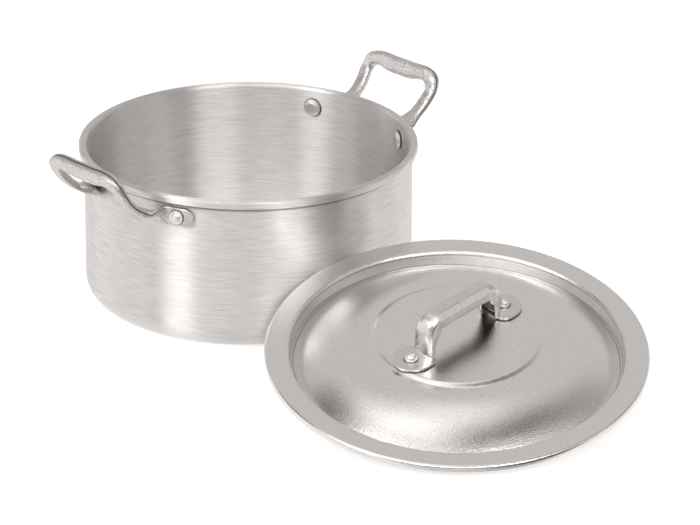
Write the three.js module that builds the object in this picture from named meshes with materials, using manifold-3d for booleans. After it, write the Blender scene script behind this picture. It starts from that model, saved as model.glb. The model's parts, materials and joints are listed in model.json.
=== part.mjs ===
// Casserole pot of spun aluminium, with two riveted loop handles and a domed lid.
// Millimetres, +Z up. The origin is the centre of the pot's base and the loop handles lie along X.
// The lid is off: it stands on the floor beside the pot and leans on the pot's wall.
import * as THREE from 'three';
import { mergeVertices } from 'three/addons/utils/BufferGeometryUtils.js';
import Module from 'manifold-3d';

const wasm = await Module();
wasm.setup();

// Clearances between separate pieces
const seatGap = 0.3;
const shankGap = 0.25;
const leanGap = 0.4;

// Pot body
const potInnerRadius = 121;
const potWall = 2;
const potBase = 3;
const potHeight = 119;
const potCorner = 15;
const rimOverhang = 4;
const rimDepth = 6;
const rimInnerRound = 3;
const rimOuterRound = 1.8;

// Loop handles of the pot
const rivetAngle = 23;
const rivetDrop = 15.6;
const padThickness = 4.2;
const padHeight = 14.4;
const padTip = 12.2;
const padRoot = 9;
const legWaist = 33;
const legWidth = 8.5;
const legDepth = 6;
const gripReach = 39;
const gripRise = 19;
const gripLength = 80;
const gripWidth = 11;
const gripDepth = 8.5;
const gripBelly = 2.4;
const gripShoulder = 19;
const gripCorner = 10;
const swellReach = 28;
const swellRise = 9;
const waistDrop = 32;
const rootReach = 8;
const rootFlare = 1.5;

// Rivets of the loop handles
const shankRadius = 3;
const innerHeadRadius = 6.7;
const innerHeadFlat = 4.6;
const innerHeadEdge = 0.8;
const innerHeadHeight = 2.2;
const outerCollarRadius = 5.3;
const outerCollarHeight = 0.9;
const outerHeadRadius = 3.7;
const outerHeadHeight = 1.9;

// Lid cover
const lidOverhang = 11;
const lidSheet = 1.4;
const lidPlugGap = 0.8;
const lidStepDepth = 11.4;
const lidStepDraft = 1.8;
const lidStepTurn = 70;
const lidSkirt = 5;
const lidBend = 2.4;
const fieldRadius = 62.4;
const fieldHeight = 13.2;
const fieldStep = 2;
const fieldSlope = 5;
const domePower = 2.1;

// Lid handle
const lidGripLength = 75;
const lidGripRise = 30.4;
const lidGripWidth = 15.2;
const lidGripDepth = 9.5;
const lidGripBevel = 3.6;
const lidGripSheet = 1.6;
const lidLegTaper = 3.5;
const lidGripCorner = 9;
const footLength = 33.5;
const footWidth = 29.4;
const footThickness = 1.8;
const footReach = 61;

// Rivets of the lid handle
const lidRivetReach = 47.7;
const lidShankRadius = 2.2;
const lidCollarRadius = 4.7;
const lidCollarHeight = 0.9;
const lidHeadRadius = 3.8;
const lidHeadHeight = 2.5;
const lidTailRadius = 4.6;
const lidTailHeight = 1.6;

// How the lid stands: bearing from the pot, bearing of its lean, lean, and turn of its handle
const lidBearing = -97.8;
const leanBearing = -132;
const leanAngle = 12.85;
const lidTurn = 133.3;

// Fineness of the facets
const turnSegments = 60;
const smallSegments = 18;
const cornerSteps = 5;
const bendSteps = 3;
const domeSteps = 6;
const leanRounds = 30;
const ringPoints = 12;
const stationSteps = 2;
const tipSteps = 3;
const tipEnd = 12;
const outerPower = 0.45;
const innerPower = 0.8;

const rad = THREE.MathUtils.degToRad;
const potOuterRadius = potInnerRadius + potWall;
const rimOuterRadius = potOuterRadius + rimOverhang;
const lidRadius = rimOuterRadius + lidOverhang;
const lidPlugRadius = potInnerRadius - lidPlugGap;
const flatOfTurn = Math.cos(Math.PI / turnSegments);

// Points of an elliptical arc, angles in degrees.
function arc(centreX, centreY, radiusX, radiusY, from, to, steps) {
  const points = [];
  for (let step = 0; step <= steps; step += 1) {
    const angle = rad(from + ((to - from) * step) / steps);
    points.push([centreX + radiusX * Math.cos(angle), centreY + radiusY * Math.sin(angle)]);
  }
  return points;
}

// Points of a circular arc, angles in degrees.
function round(centreX, centreY, radius, from, to, steps) {
  return arc(centreX, centreY, radius, radius, from, to, steps);
}

// A profile of (radius, height) points turned round the Z axis.
function turned(profile, segments) {
  const points = profile.map(([radius, height]) => new THREE.Vector2(radius, height));
  const geometry = new THREE.LatheGeometry(points, segments);
  geometry.rotateX(Math.PI / 2);
  return solidOf(geometry);
}

// A closed surface as a solid whose faces point out.
function solidOf(geometry) {
  const bare = geometry.clone();
  bare.deleteAttribute('normal');
  bare.deleteAttribute('uv');
  const merged = mergeVertices(bare, 1e-4);
  const place = merged.attributes.position;
  const index = merged.index.array;
  const triangles = [];
  const corner = [new THREE.Vector3(), new THREE.Vector3(), new THREE.Vector3()];
  let volume = 0;
  for (let start = 0; start < index.length; start += 3) {
    const [a, b, c] = index.subarray(start, start + 3);
    if (a !== b && b !== c && c !== a) {
      triangles.push([a, b, c]);
      [a, b, c].forEach((vertex, side) => corner[side].fromBufferAttribute(place, vertex));
      volume += corner[0].dot(corner[1].clone().cross(corner[2]));
    }
  }
  const outward = volume > 0 ? triangles : triangles.map(([a, b, c]) => [a, c, b]);
  const mesh = new wasm.Mesh({
    numProp: 3,
    vertProperties: new Float32Array(place.array),
    triVerts: new Uint32Array(outward.flat()),
  });
  return new wasm.Manifold(mesh);
}

// A closed skin over a row of rings with equal point counts, with its two ends capped.
function lofted(rings) {
  const count = rings[0].length;
  const vertices = rings.flat();
  const triangles = [];
  for (let ring = 0; ring + 1 < rings.length; ring += 1) {
    for (let point = 0; point < count; point += 1) {
      const next = (point + 1) % count;
      const low = ring * count;
      const high = low + count;
      triangles.push([low + point, low + next, high + next]);
      triangles.push([low + point, high + next, high + point]);
    }
  }
  const last = (rings.length - 1) * count;
  for (let point = 1; point + 1 < count; point += 1) {
    triangles.push([0, point + 1, point]);
    triangles.push([last, last + point, last + point + 1]);
  }
  const geometry = new THREE.BufferGeometry().setFromPoints(vertices);
  geometry.setIndex(triangles.flat());
  return solidOf(geometry);
}

// A round bar along Z from one height to another.
function roundBar(radius, from, to, segments) {
  return turned([[0, from], [radius, from], [radius, to], [0, to]], segments);
}

// A named mesh of a solid in a material.
function piece(name, solid, material) {
  const mesh = solid.getMesh();
  const geometry = new THREE.BufferGeometry();
  geometry.setAttribute('position', new THREE.BufferAttribute(mesh.vertProperties, 3));
  geometry.setIndex(new THREE.BufferAttribute(mesh.triVerts, 1));
  geometry.computeVertexNormals();
  const made = new THREE.Mesh(geometry, material);
  made.name = name;
  return made;
}

// A solid moved by a three.js matrix.
function moved(solid, matrix) {
  return solid.transform(matrix.elements);
}

// Matrix that sets a rivet's axis, along Z, on the pot's radius at an angle and height.
function onWall(angle, height) {
  const outward = new THREE.Vector3(Math.cos(rad(angle)), Math.sin(rad(angle)), 0);
  const up = new THREE.Vector3(0, 0, 1);
  const side = up.clone().cross(outward);
  const matrix = new THREE.Matrix4().makeBasis(up, side.negate(), outward);
  return matrix.setPosition(0, 0, height);
}

const rivetHeight = potHeight - rivetDrop;
const padInside = potOuterRadius + seatGap;
const padOutside = padInside + padThickness;

// Sheet wall, rounded base corner, and a rim turned out and down with a slot behind it.
function potBody() {
  const cornerAcross = potOuterRadius - potCorner;
  const slotOuter = rimOuterRadius - potWall;
  const slotTop = potHeight - potWall;
  const hem = potWall / 2;
  const rimFoot = potHeight - rimDepth;
  const profile = [
    [0, 0],
    ...round(cornerAcross, potCorner, potCorner, -90, 0, cornerSteps),
    [potOuterRadius, slotTop],
    [slotOuter, slotTop],
    ...round(slotOuter + hem, rimFoot + hem, hem, 180, 360, bendSteps),
    ...round(rimOuterRadius - rimOuterRound, potHeight - rimOuterRound, rimOuterRound, 0, 90, bendSteps),
    ...round(potInnerRadius + rimInnerRound, potHeight - rimInnerRound, rimInnerRound, 90, 180, bendSteps),
    ...arc(cornerAcross, potCorner, potCorner - potWall, potCorner - potBase, 0, -90, cornerSteps),
    [0, potBase],
  ];
  let body = turned(profile, turnSegments);
  const drill = roundBar(shankRadius + shankGap, potInnerRadius - potWall, rimOuterRadius, smallSegments);
  for (const middle of [0, 180]) {
    for (const side of [-1, 1]) {
      body = body.subtract(moved(drill, onWall(middle + side * rivetAngle, rivetHeight)));
    }
  }
  return body;
}

// A ring of points round a place: a bar's section, flat on the outer side and round on the inner.
function sectionRing(place, across, normal, width, depth) {
  const ring = [];
  for (let point = 0; point < ringPoints; point += 1) {
    const angle = (point / ringPoints) * 2 * Math.PI;
    const power = Math.sin(angle) > 0 ? outerPower : innerPower;
    const bulge = (value) => Math.sign(value) * Math.abs(value) ** power;
    const spot = place.clone();
    spot.addScaledVector(across, (bulge(Math.cos(angle)) * width) / 2);
    spot.addScaledVector(normal, (bulge(Math.sin(angle)) * depth) / 2);
    ring.push(spot);
  }
  return ring;
}

// Stations of half a loop handle, from the middle of the grip to the tip of a foot pad.
function handleStations() {
  const padMiddle = (padInside + padOutside) / 2;
  const gripAcross = potOuterRadius + gripReach;
  const gripHeight = potHeight + gripRise;
  const side = new THREE.QuadraticBezierCurve(
    new THREE.Vector2(padMiddle, rivetHeight),
    new THREE.Vector2(padMiddle + swellReach, rivetHeight + swellRise),
    new THREE.Vector2(gripAcross, gripHeight),
  );
  const reach = side.getLength();
  const legTop = (gripLength - legWidth) / 2;
  const bend = gripCorner * Math.SQRT1_2;
  const onLoop = (y, below, width, depth) => {
    const spot = side.getPointAt(1 - below / reach);
    const along = side.getTangentAt(1 - below / reach);
    const place = new THREE.Vector3(spot.x, y, spot.y);
    return { place, normal: new THREE.Vector3(along.y, 0, -along.x), width, depth };
  };
  const onPad = (along, standOff, width, depth) => {
    const angle = rad(rivetAngle) + along / potOuterRadius;
    const normal = new THREE.Vector3(Math.cos(angle), Math.sin(angle), 0);
    const place = normal.clone().multiplyScalar(padMiddle + standOff).setZ(rivetHeight);
    return { place, normal, width, depth };
  };
  const tip = arc(padTip - padHeight / 2, 0, padHeight / 2, padHeight, 90, tipEnd, tipSteps);
  return [
    onLoop(0, gripBelly / 2, gripWidth + gripBelly, gripDepth),
    onLoop(gripShoulder / 2, gripBelly / 2, gripWidth + gripBelly, gripDepth),
    onLoop(legTop - gripCorner, 0, gripWidth, gripDepth),
    onLoop(legTop - gripCorner + bend, gripCorner - bend, gripWidth, gripDepth),
    onLoop(legTop, gripCorner, legWidth, legDepth),
    onLoop((legTop + legWaist) / 2, (gripCorner + waistDrop) / 2, legWidth, legDepth),
    onLoop(legWaist, waistDrop, legWidth, legDepth),
    onLoop(legWaist + rootFlare, reach - rootReach, legWidth, legDepth),
    onPad(-padRoot, 0, padHeight, padThickness),
    onPad(0, 0, padHeight, padThickness),
    ...tip.map(([along, width]) => onPad(along, 0, width, padThickness)),
  ];
}

// Loop handle on +X: a bar swept from foot pad to foot pad, cut to the wall and drilled.
function loopHandle() {
  const stations = handleStations();
  const mirrored = stations.slice(1).reverse().map((one) => {
    const flip = new THREE.Vector3(1, -1, 1);
    const place = one.place.clone().multiply(flip);
    const normal = one.normal.clone().multiply(flip);
    return { ...one, place, normal };
  });
  const all = [...mirrored, ...stations];
  const smooth = (points) => new THREE.CatmullRomCurve3(points, false, 'centripetal');
  const route = smooth(all.map((one) => one.place));
  const facing = smooth(all.map((one) => one.normal));
  const sizes = smooth(all.map((one) => new THREE.Vector3(one.width, one.depth, 0)));
  const rings = [];
  const steps = (all.length - 1) * stationSteps;
  for (let step = 0; step <= steps; step += 1) {
    const share = step / steps;
    const place = route.getPoint(share);
    const along = route.getTangent(share);
    const { x: width, y: depth } = sizes.getPoint(share);
    const across = along.clone().cross(facing.getPoint(share)).normalize();
    const normal = across.clone().cross(along).normalize();
    rings.push(sectionRing(place, across, normal, width, depth));
  }
  let handle = lofted(rings);
  const clear = roundBar(padInside, 0, potHeight, turnSegments);
  handle = handle.subtract(clear);
  const drill = roundBar(shankRadius + shankGap, potOuterRadius, padOutside + gripReach, smallSegments);
  for (const side of [-1, 1]) {
    handle = handle.subtract(moved(drill, onWall(side * rivetAngle, rivetHeight)));
  }
  return handle;
}

// Rivet of a loop handle along Z: wide head inside the pot, shank, and peened end on the pad.
function handleRivet() {
  const innerFace = potInnerRadius * flatOfTurn;
  const innerSeat = Math.sqrt(innerFace ** 2 - innerHeadRadius ** 2) - seatGap;
  const outerSeat = padOutside + seatGap;
  const collarTop = outerSeat + outerCollarHeight;
  return turned([
    [0, innerSeat - innerHeadHeight],
    [innerHeadFlat, innerSeat - innerHeadHeight],
    [innerHeadRadius, innerSeat - innerHeadEdge],
    [innerHeadRadius, innerSeat],
    [shankRadius, innerSeat],
    [shankRadius, outerSeat],
    [outerCollarRadius, outerSeat],
    [outerCollarRadius, collarTop],
    ...arc(0, collarTop, outerHeadRadius, outerHeadHeight, 0, 90, bendSteps),
  ], smallSegments);
}

// Points of a profile moved sideways along its own normals, as the far face of a sheet.
function offsetProfile(points, distance) {
  return points.map(([x, y], spot) => {
    const [beforeX, beforeY] = points[Math.max(spot - 1, 0)];
    const [afterX, afterY] = points[Math.min(spot + 1, points.length - 1)];
    const into = new THREE.Vector2(x - beforeX, y - beforeY);
    const out = new THREE.Vector2(afterX - x, afterY - y);
    if (spot === 0) into.copy(out);
    if (spot === points.length - 1) out.copy(into);
    into.normalize();
    out.normalize();
    const along = into.clone().add(out).normalize();
    const mitre = distance / along.dot(out);
    return [x + along.y * mitre, y - along.x * mitre];
  });
}

const moatRadius = lidPlugRadius - lidStepDraft;

// Height of the dome's outer face between the moat and the raised field.
function domeHeight(radius) {
  const share = (radius - fieldRadius) / (moatRadius - fieldRadius);
  const top = fieldHeight - fieldStep;
  return top - (top + lidStepDepth) * Math.max(share, 0) ** domePower;
}

// Outer face of the lid from its middle to the foot of its turned-down edge.
function lidFace() {
  const points = [
    [0, fieldHeight],
    [fieldRadius - fieldSlope, fieldHeight],
    [fieldRadius, fieldHeight - fieldStep],
  ];
  const domeEnd = moatRadius - lidBend;
  for (let step = 1; step <= domeSteps; step += 1) {
    const radius = fieldRadius + ((domeEnd - fieldRadius) * step) / domeSteps;
    points.push([radius, domeHeight(radius)]);
  }
  points.push([moatRadius, -lidStepDepth]);
  points.push(...round(lidPlugRadius + lidBend, -lidBend, lidBend, 90 + lidStepTurn, 90, bendSteps));
  points.push(...round(lidRadius - lidBend, -lidBend, lidBend, 90, 0, bendSteps));
  points.push([lidRadius, -lidSkirt]);
  return points;
}

// Section of the lid's sheet: its outer face out to the edge, then its under face back to the middle.
function lidSection() {
  const face = lidFace();
  return [...face, ...offsetProfile(face, lidSheet).reverse()];
}

// Spun lid with two rivet holes under its handle.
function lidCover() {
  let cover = turned(lidSection(), turnSegments);
  const drill = roundBar(lidShankRadius + shankGap, 0, fieldHeight + lidHeadHeight, smallSegments);
  for (const side of [-1, 1]) {
    const spot = new THREE.Vector3(side * lidRivetReach, 0, 0);
    spot.applyAxisAngle(new THREE.Vector3(0, 0, 1), rad(lidTurn));
    cover = cover.subtract(moved(drill, new THREE.Matrix4().setPosition(spot)));
  }
  return cover;
}

const footSeat = fieldHeight + seatGap;
const footTop = footSeat + footThickness;

// Bridge handle of the lid: a bevelled channel, open below, whose legs thin out to two oval foot plates.
function lidBridge() {
  const half = lidGripWidth / 2;
  const flat = half - lidGripBevel;
  const outer = lidGripDepth / 2;
  const edge = outer - lidGripBevel;
  const slip = lidGripSheet * (Math.SQRT2 - 1);
  const skin = [[half, -outer], [half, edge], [flat, outer]];
  const hollow = [
    [half - lidGripSheet, -outer - lidGripSheet],
    [half - lidGripSheet, edge - slip],
    [flat - slip, outer - lidGripSheet],
  ];
  const legX = (lidGripLength - lidGripDepth) / 2;
  const top = footTop + lidGripRise - lidGripDepth / 2;
  const bend = round(legX - lidGripCorner, top - lidGripCorner, lidGripCorner, 0, 90, cornerSteps);
  const swept = (rightSide, footZ, inmost) => {
    const right = [[legX, footZ], ...bend];
    const left = right.map(([x, z]) => [-x, z]).reverse();
    const line = [...right, ...left];
    const leftSide = rightSide.map(([y, out]) => [-y, out]).reverse();
    const section = [...rightSide, ...leftSide];
    return lofted(line.map(([x, z], spot) => {
      const [beforeX, beforeZ] = line[Math.max(spot - 1, 0)];
      const [afterX, afterZ] = line[Math.min(spot + 1, line.length - 1)];
      const along = new THREE.Vector2(afterX - beforeX, afterZ - beforeZ).normalize();
      const least = z === footZ ? inmost : -Infinity;
      return section.map(([y, out]) => {
        const reach = Math.max(out, least);
        return new THREE.Vector3(x + reach * along.y, y, z - reach * along.x);
      });
    }));
  };
  let bridge = swept(skin, footSeat + footThickness / 2, lidLegTaper - outer);
  const plate = roundBar(1, footSeat, footTop, smallSegments);
  const drill = roundBar(lidShankRadius + shankGap, fieldHeight, footTop + lidHeadHeight, smallSegments);
  for (const side of [-1, 1]) {
    const oval = new THREE.Matrix4().makeScale(footLength / 2, footWidth / 2, 1);
    oval.setPosition(side * (footReach - footLength / 2), 0, 0);
    bridge = bridge.add(moved(plate, oval));
  }
  bridge = bridge.subtract(swept(hollow, footSeat - footThickness, -lidGripDepth));
  for (const side of [-1, 1]) {
    bridge = bridge.subtract(moved(drill, new THREE.Matrix4().setPosition(side * lidRivetReach, 0, 0)));
  }
  return bridge;
}

// Rivet of the lid handle along Z: flat head under the lid, shank, and a stepped end on the plate.
function lidRivet() {
  const lowSeat = fieldHeight - lidSheet - seatGap;
  const highSeat = footTop + seatGap;
  const collarTop = highSeat + lidCollarHeight;
  return turned([
    [0, lowSeat - lidTailHeight],
    [lidTailRadius, lowSeat - lidTailHeight],
    [lidTailRadius, lowSeat],
    [lidShankRadius, lowSeat],
    [lidShankRadius, highSeat],
    [lidCollarRadius, highSeat],
    [lidCollarRadius, collarTop],
    ...arc(0, collarTop, lidHeadRadius, lidHeadHeight, 0, 90, bendSteps),
  ], smallSegments);
}

// Least distance from the pot's axis to the foot of the leaning lid's edge, seen from above.
function edgeDistance(distance) {
  const turn = rad(lidBearing - leanBearing);
  const lean = rad(leanAngle);
  let least = Infinity;
  for (let spot = 0; spot < turnSegments; spot += 1) {
    const angle = (spot / turnSegments) * 2 * Math.PI;
    const along = lidRadius * Math.cos(angle) * Math.cos(lean) - lidSkirt * Math.sin(lean);
    const across = lidRadius * Math.sin(angle);
    const reach = Math.hypot(distance * Math.cos(turn) + along, distance * Math.sin(turn) + across);
    least = Math.min(least, reach);
  }
  return least;
}

// Height of the lid's middle at which the lowest point of its leaning section touches the floor.
function leanHeight() {
  const lean = rad(leanAngle);
  const drops = lidSection().map(([radius, height]) => radius * Math.sin(lean) - height * Math.cos(lean));
  return Math.max(...drops);
}

// Distance of the lid's middle from the pot's axis at which its edge leans on the wall.
function leanDistance() {
  let distance = potOuterRadius + lidRadius;
  for (let round = 0; round < leanRounds; round += 1) {
    distance += potOuterRadius + leanGap - edgeDistance(distance);
  }
  return distance;
}

// Bare metal of a colour and roughness.
function metal(color, roughness) {
  return new THREE.MeshStandardMaterial({ color, roughness, metalness: 1 });
}

const spunMetal = () => metal(0xc9c5c1, 0.35);
const castMetal = () => metal(0xd2cdca, 0.3);
const rivetMetal = () => metal(0xd6d3d0, 0.3);

const pot = new THREE.Group();
pot.add(piece('pot_body', potBody(), spunMetal()));
const sides = [['right', 0], ['left', 180]];
for (const [name, angle] of sides) {
  const side = new THREE.Group();
  side.rotation.z = rad(angle);
  side.add(piece(`loop_handle_${name}`, loopHandle(), castMetal()));
  for (const [mark, turn] of [['a', -rivetAngle], ['b', rivetAngle]]) {
    const rivet = moved(handleRivet(), onWall(turn, rivetHeight));
    side.add(piece(`handle_rivet_${name}_${mark}`, rivet, rivetMetal()));
  }
  pot.add(side);
}

const bridge = new THREE.Group();
bridge.rotation.z = rad(lidTurn);
bridge.add(piece('lid_handle', lidBridge(), castMetal()));
for (const [mark, side] of [['a', -1], ['b', 1]]) {
  const rivet = piece(`lid_rivet_${mark}`, lidRivet(), rivetMetal());
  rivet.position.x = side * lidRivetReach;
  bridge.add(rivet);
}

const leaning = new THREE.Group();
leaning.rotation.y = rad(leanAngle);
leaning.add(piece('lid_cover', lidCover(), spunMetal()), bridge);
const lid = new THREE.Group();
const lidAway = leanDistance();
lid.position.set(lidAway * Math.cos(rad(lidBearing)), lidAway * Math.sin(rad(lidBearing)), leanHeight());
lid.rotation.z = rad(leanBearing);
lid.add(leaning);

export default new THREE.Group().add(pot, lid);
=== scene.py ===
"""Casserole pot of spun aluminium with its lid leaning against it: the looks for the packed part."""

import json
import math

import bmesh
import bpy
from bpy.props import FloatProperty, FloatVectorProperty, IntProperty, PointerProperty
from mathutils import Matrix, Vector


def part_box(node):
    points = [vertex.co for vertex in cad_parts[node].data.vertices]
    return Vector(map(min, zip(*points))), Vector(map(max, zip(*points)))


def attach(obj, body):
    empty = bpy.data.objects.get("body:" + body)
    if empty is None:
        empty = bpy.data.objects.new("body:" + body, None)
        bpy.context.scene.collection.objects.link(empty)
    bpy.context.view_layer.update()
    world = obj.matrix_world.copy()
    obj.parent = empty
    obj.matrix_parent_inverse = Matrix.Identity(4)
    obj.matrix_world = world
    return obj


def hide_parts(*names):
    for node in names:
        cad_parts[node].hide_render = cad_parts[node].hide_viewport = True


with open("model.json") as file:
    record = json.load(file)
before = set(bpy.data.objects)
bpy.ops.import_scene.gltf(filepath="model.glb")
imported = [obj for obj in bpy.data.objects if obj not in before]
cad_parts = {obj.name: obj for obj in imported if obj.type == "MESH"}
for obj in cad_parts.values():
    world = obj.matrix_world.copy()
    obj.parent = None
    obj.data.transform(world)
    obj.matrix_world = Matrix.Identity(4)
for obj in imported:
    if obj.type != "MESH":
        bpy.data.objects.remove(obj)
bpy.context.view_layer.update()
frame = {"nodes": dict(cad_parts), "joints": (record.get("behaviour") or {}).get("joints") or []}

bl_info = {
    "name": "Casserole pot",
    "version": (1, 0, 0),
    "blender": (4, 5, 0),
    "location": "View3D > Sidebar > Casserole",
    "description": "Builds a riveted aluminium casserole pot with its lid",
    "category": "Add Mesh",
}

POT_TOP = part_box("pot_body")[1]
TAU = 2 * math.pi

# Lengths in metres for the fine work on every piece
GUARD = 0.0003  # how close a profile's guard points lie to its corners
FINE_GUARD = 0.0001  # the same on a rivet
CREASE_REACH = 0.0012  # how far the painted shade in a rivet's crease reaches
SHADE_RING_START, SHADE_RING_END = 0.0003, 0.0012  # where the painted shade ring round a rivet's head begins to fade and ends
SHADE_RING_LEVEL = 0.85  # how dark that painted shade ring is


def length(name, text, millimetres):
    """A length in metres, written in millimetres."""
    return FloatProperty(name=name, description=text, default=millimetres / 1000, unit="LENGTH",
                         subtype="DISTANCE", precision=4)


def turn(name, text, degrees):
    """An angle, written in degrees."""
    return FloatProperty(name=name, description=text, default=math.radians(degrees), unit="ROTATION",
                         subtype="ANGLE")


def amount(name, text, value):
    """A plain number."""
    return FloatProperty(name=name, description=text, default=value, precision=3)


def count(name, text, value):
    """A whole number."""
    return IntProperty(name=name, description=text, default=value, min=1)


def colour(name, text, value):
    """A colour in linear light."""
    return FloatVectorProperty(name=name, description=text, default=value, size=3, subtype="COLOR",
                               min=0, max=1)


class PotSizes(bpy.types.PropertyGroup):
    """Sizes of the spun pot."""

    height: length("Height", "Height of the rim over the floor", POT_TOP.z * 1000)
    rim_radius: length("Rim radius", "Outer radius of the rim", POT_TOP.x * 1000)
    inner_radius: length("Inner radius", "Radius of the inside of the wall", 121)
    wall: length("Wall", "Thickness of the wall", 2)
    base: length("Base", "Thickness of the base", 3)
    corner: length("Base corner", "Outer radius of the corner between base and wall", 15)
    rim_depth: length("Rim depth", "Height of the turned-down outer face of the rim", 6)
    rim_inner_round: length("Inner round", "Radius of the inner edge of the rim", 3)
    rim_outer_round: length("Outer round", "Radius of the outer edge of the rim", 1.8)
    # Painted shade in a line on the wall under the rim
    rim_shade_depth: length("Rim line depth", "Reach of the dark line under the rim, off the wall", 1)
    rim_shade_height: length("Rim line height", "Half height of the dark line under the rim", 2.2)
    rim_shade_level: amount("Rim line level", "How dark the line under the rim is", 0.55)
    segments: count("Segments", "Steps round the pot", 240)


class LoopSizes(bpy.types.PropertyGroup):
    """Sizes of the two loop handles."""

    rivet_angle: turn("Rivet angle", "Angle of a rivet from the middle of its handle", 23)
    rivet_drop: length("Rivet drop", "Height of the rivets under the rim", 15.6)
    pad_gap: length("Pad gap", "Clearance between wall and pad", 0.3)
    pad_thickness: length("Pad thickness", "Thickness of a foot pad", 4.2)
    pad_height: length("Pad height", "Height of a foot pad", 14.4)
    pad_tip: length("Pad tip", "Reach of a pad past its rivet", 12.2)
    pad_root: length("Pad root", "Reach of a pad before its rivet", 9)
    leg_waist: length("Leg waist", "Half distance of the legs at their waist", 33)
    leg_width: length("Leg width", "Width of a leg", 10.2)
    root_width: length("Root width", "Width of a leg's flared root", 17)
    leg_depth: length("Leg depth", "Depth of a leg", 6)
    grip_reach: length("Grip reach", "Distance of the grip from the wall", 38.8)
    grip_rise: length("Grip rise", "Height of the grip over the rim", 18.6)
    grip_length: length("Grip length", "Length of the grip", 80)
    grip_width: length("Grip width", "Width of the grip", 11)
    grip_depth: length("Grip depth", "Depth of the grip", 8.5)
    grip_belly: length("Grip belly", "Extra width at the middle of the grip", 2.4)
    grip_shoulder: length("Grip shoulder", "Length of the widened middle", 19)
    grip_corner: length("Grip corner", "Radius of the corners of the loop", 10)
    swell_reach: length("Swell reach", "Outward pull on the curve of the legs", 28)
    swell_rise: length("Swell rise", "Upward pull on the curve of the legs", 9)
    waist_drop: length("Waist drop", "Distance of the waist under the grip", 32)
    root_reach: length("Root reach", "Distance of a leg's root from its pad", 8)
    root_flare: length("Root flare", "Outward shift of a leg's root", -0.5)
    seam_depth: amount("Seam depth", "Depth of the mould seam as a share of the bar's half width", 0.09)
    # Painted shade where a handle meets the wall: how far it reaches and how dark it is
    contact_shade_reach: length("Grime reach", "How far the dark of the joint to the wall reaches", 1.2)
    contact_shade_level: amount("Grime level", "How dark the joint to the wall is", 0.35)
    # Painted shade in the groove of the mould seam: how many points of the section it takes in
    seam_shade_spread: amount("Seam spread", "How many points of the section the dark of the seam takes in", 1.8)
    steps: count("Steps", "Rings between two stations of the bar", 12)


class WallRivetSizes(bpy.types.PropertyGroup):
    """Sizes of the rivets of the loop handles."""

    shank: length("Shank", "Radius of the shank", 3)
    inner_head: length("Inner head", "Radius of the head inside the pot", 6.7)
    inner_flat: length("Inner flat", "Radius of the flat of the inner head", 4.6)
    inner_edge: length("Inner edge", "Height of the rim of the inner head", 0.8)
    inner_height: length("Inner height", "Height of the inner head", 2.2)
    flat_round: length("Flat round", "Rounding of the edge of the inner flat", 0.8)
    edge_round: length("Edge round", "Rounding of the rim of the inner head", 0.6)
    collar: length("Collar", "Radius of the collar on the pad", 5.3)
    collar_height: length("Collar height", "Height of the collar", 0.9)
    collar_round: length("Collar round", "Rounding of the collar", 0.4)
    head: length("Head", "Radius of the domed end", 3.7)
    head_height: length("Head height", "Height of the domed end", 1.9)
    head_ledge: length("Head ledge", "Flat ring round the foot of the domed end", 0.3)
    gap: length("Gap", "Clearance under each head", 0.3)
    segments: count("Segments", "Steps round a rivet", 64)


class LidSizes(bpy.types.PropertyGroup):
    """Sizes of the spun lid."""

    radius: length("Radius", "Outer radius of the lid", 137.95)
    sheet: length("Sheet", "Thickness of the sheet", 1.4)
    plug_radius: length("Plug radius", "Radius of the ring that sits in the pot", 120.2)
    step_depth: length("Step depth", "Depth of the ring under the flange", 11.4)
    step_draft: length("Step draft", "Inward slope of the ring", 1.8)
    step_turn: turn("Step turn", "Turn of the upper bend of the ring", 70)
    skirt: length("Skirt", "Height of the turned-down edge", 5)
    bend: length("Bend", "Radius of the bends", 2.4)
    field_radius: length("Field radius", "Radius of the raised middle", 62.4)
    field_height: length("Field height", "Height of the middle over the flange", 13.2)
    field_step: length("Field step", "Height of the step round the middle", 2)
    field_slope: length("Field slope", "Width of the step round the middle", 5)
    dome_power: amount("Dome power", "How late the dome falls away", 2.1)
    # Painted shade in thin lines along the foot and the upper bend of the ring
    line_width: length("Line width", "Width of the dark lines along the ring", 0.6)
    line_lift: length("Line lift", "Height of the lower dark line over the ring's foot", 1.1)
    foot_shade: amount("Foot line", "How dark the line along the ring's foot is", 0.45)
    bend_shade: amount("Bend line", "How dark the line along the ring's upper bend is", 0.45)
    segments: count("Segments", "Steps round the lid", 240)


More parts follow.
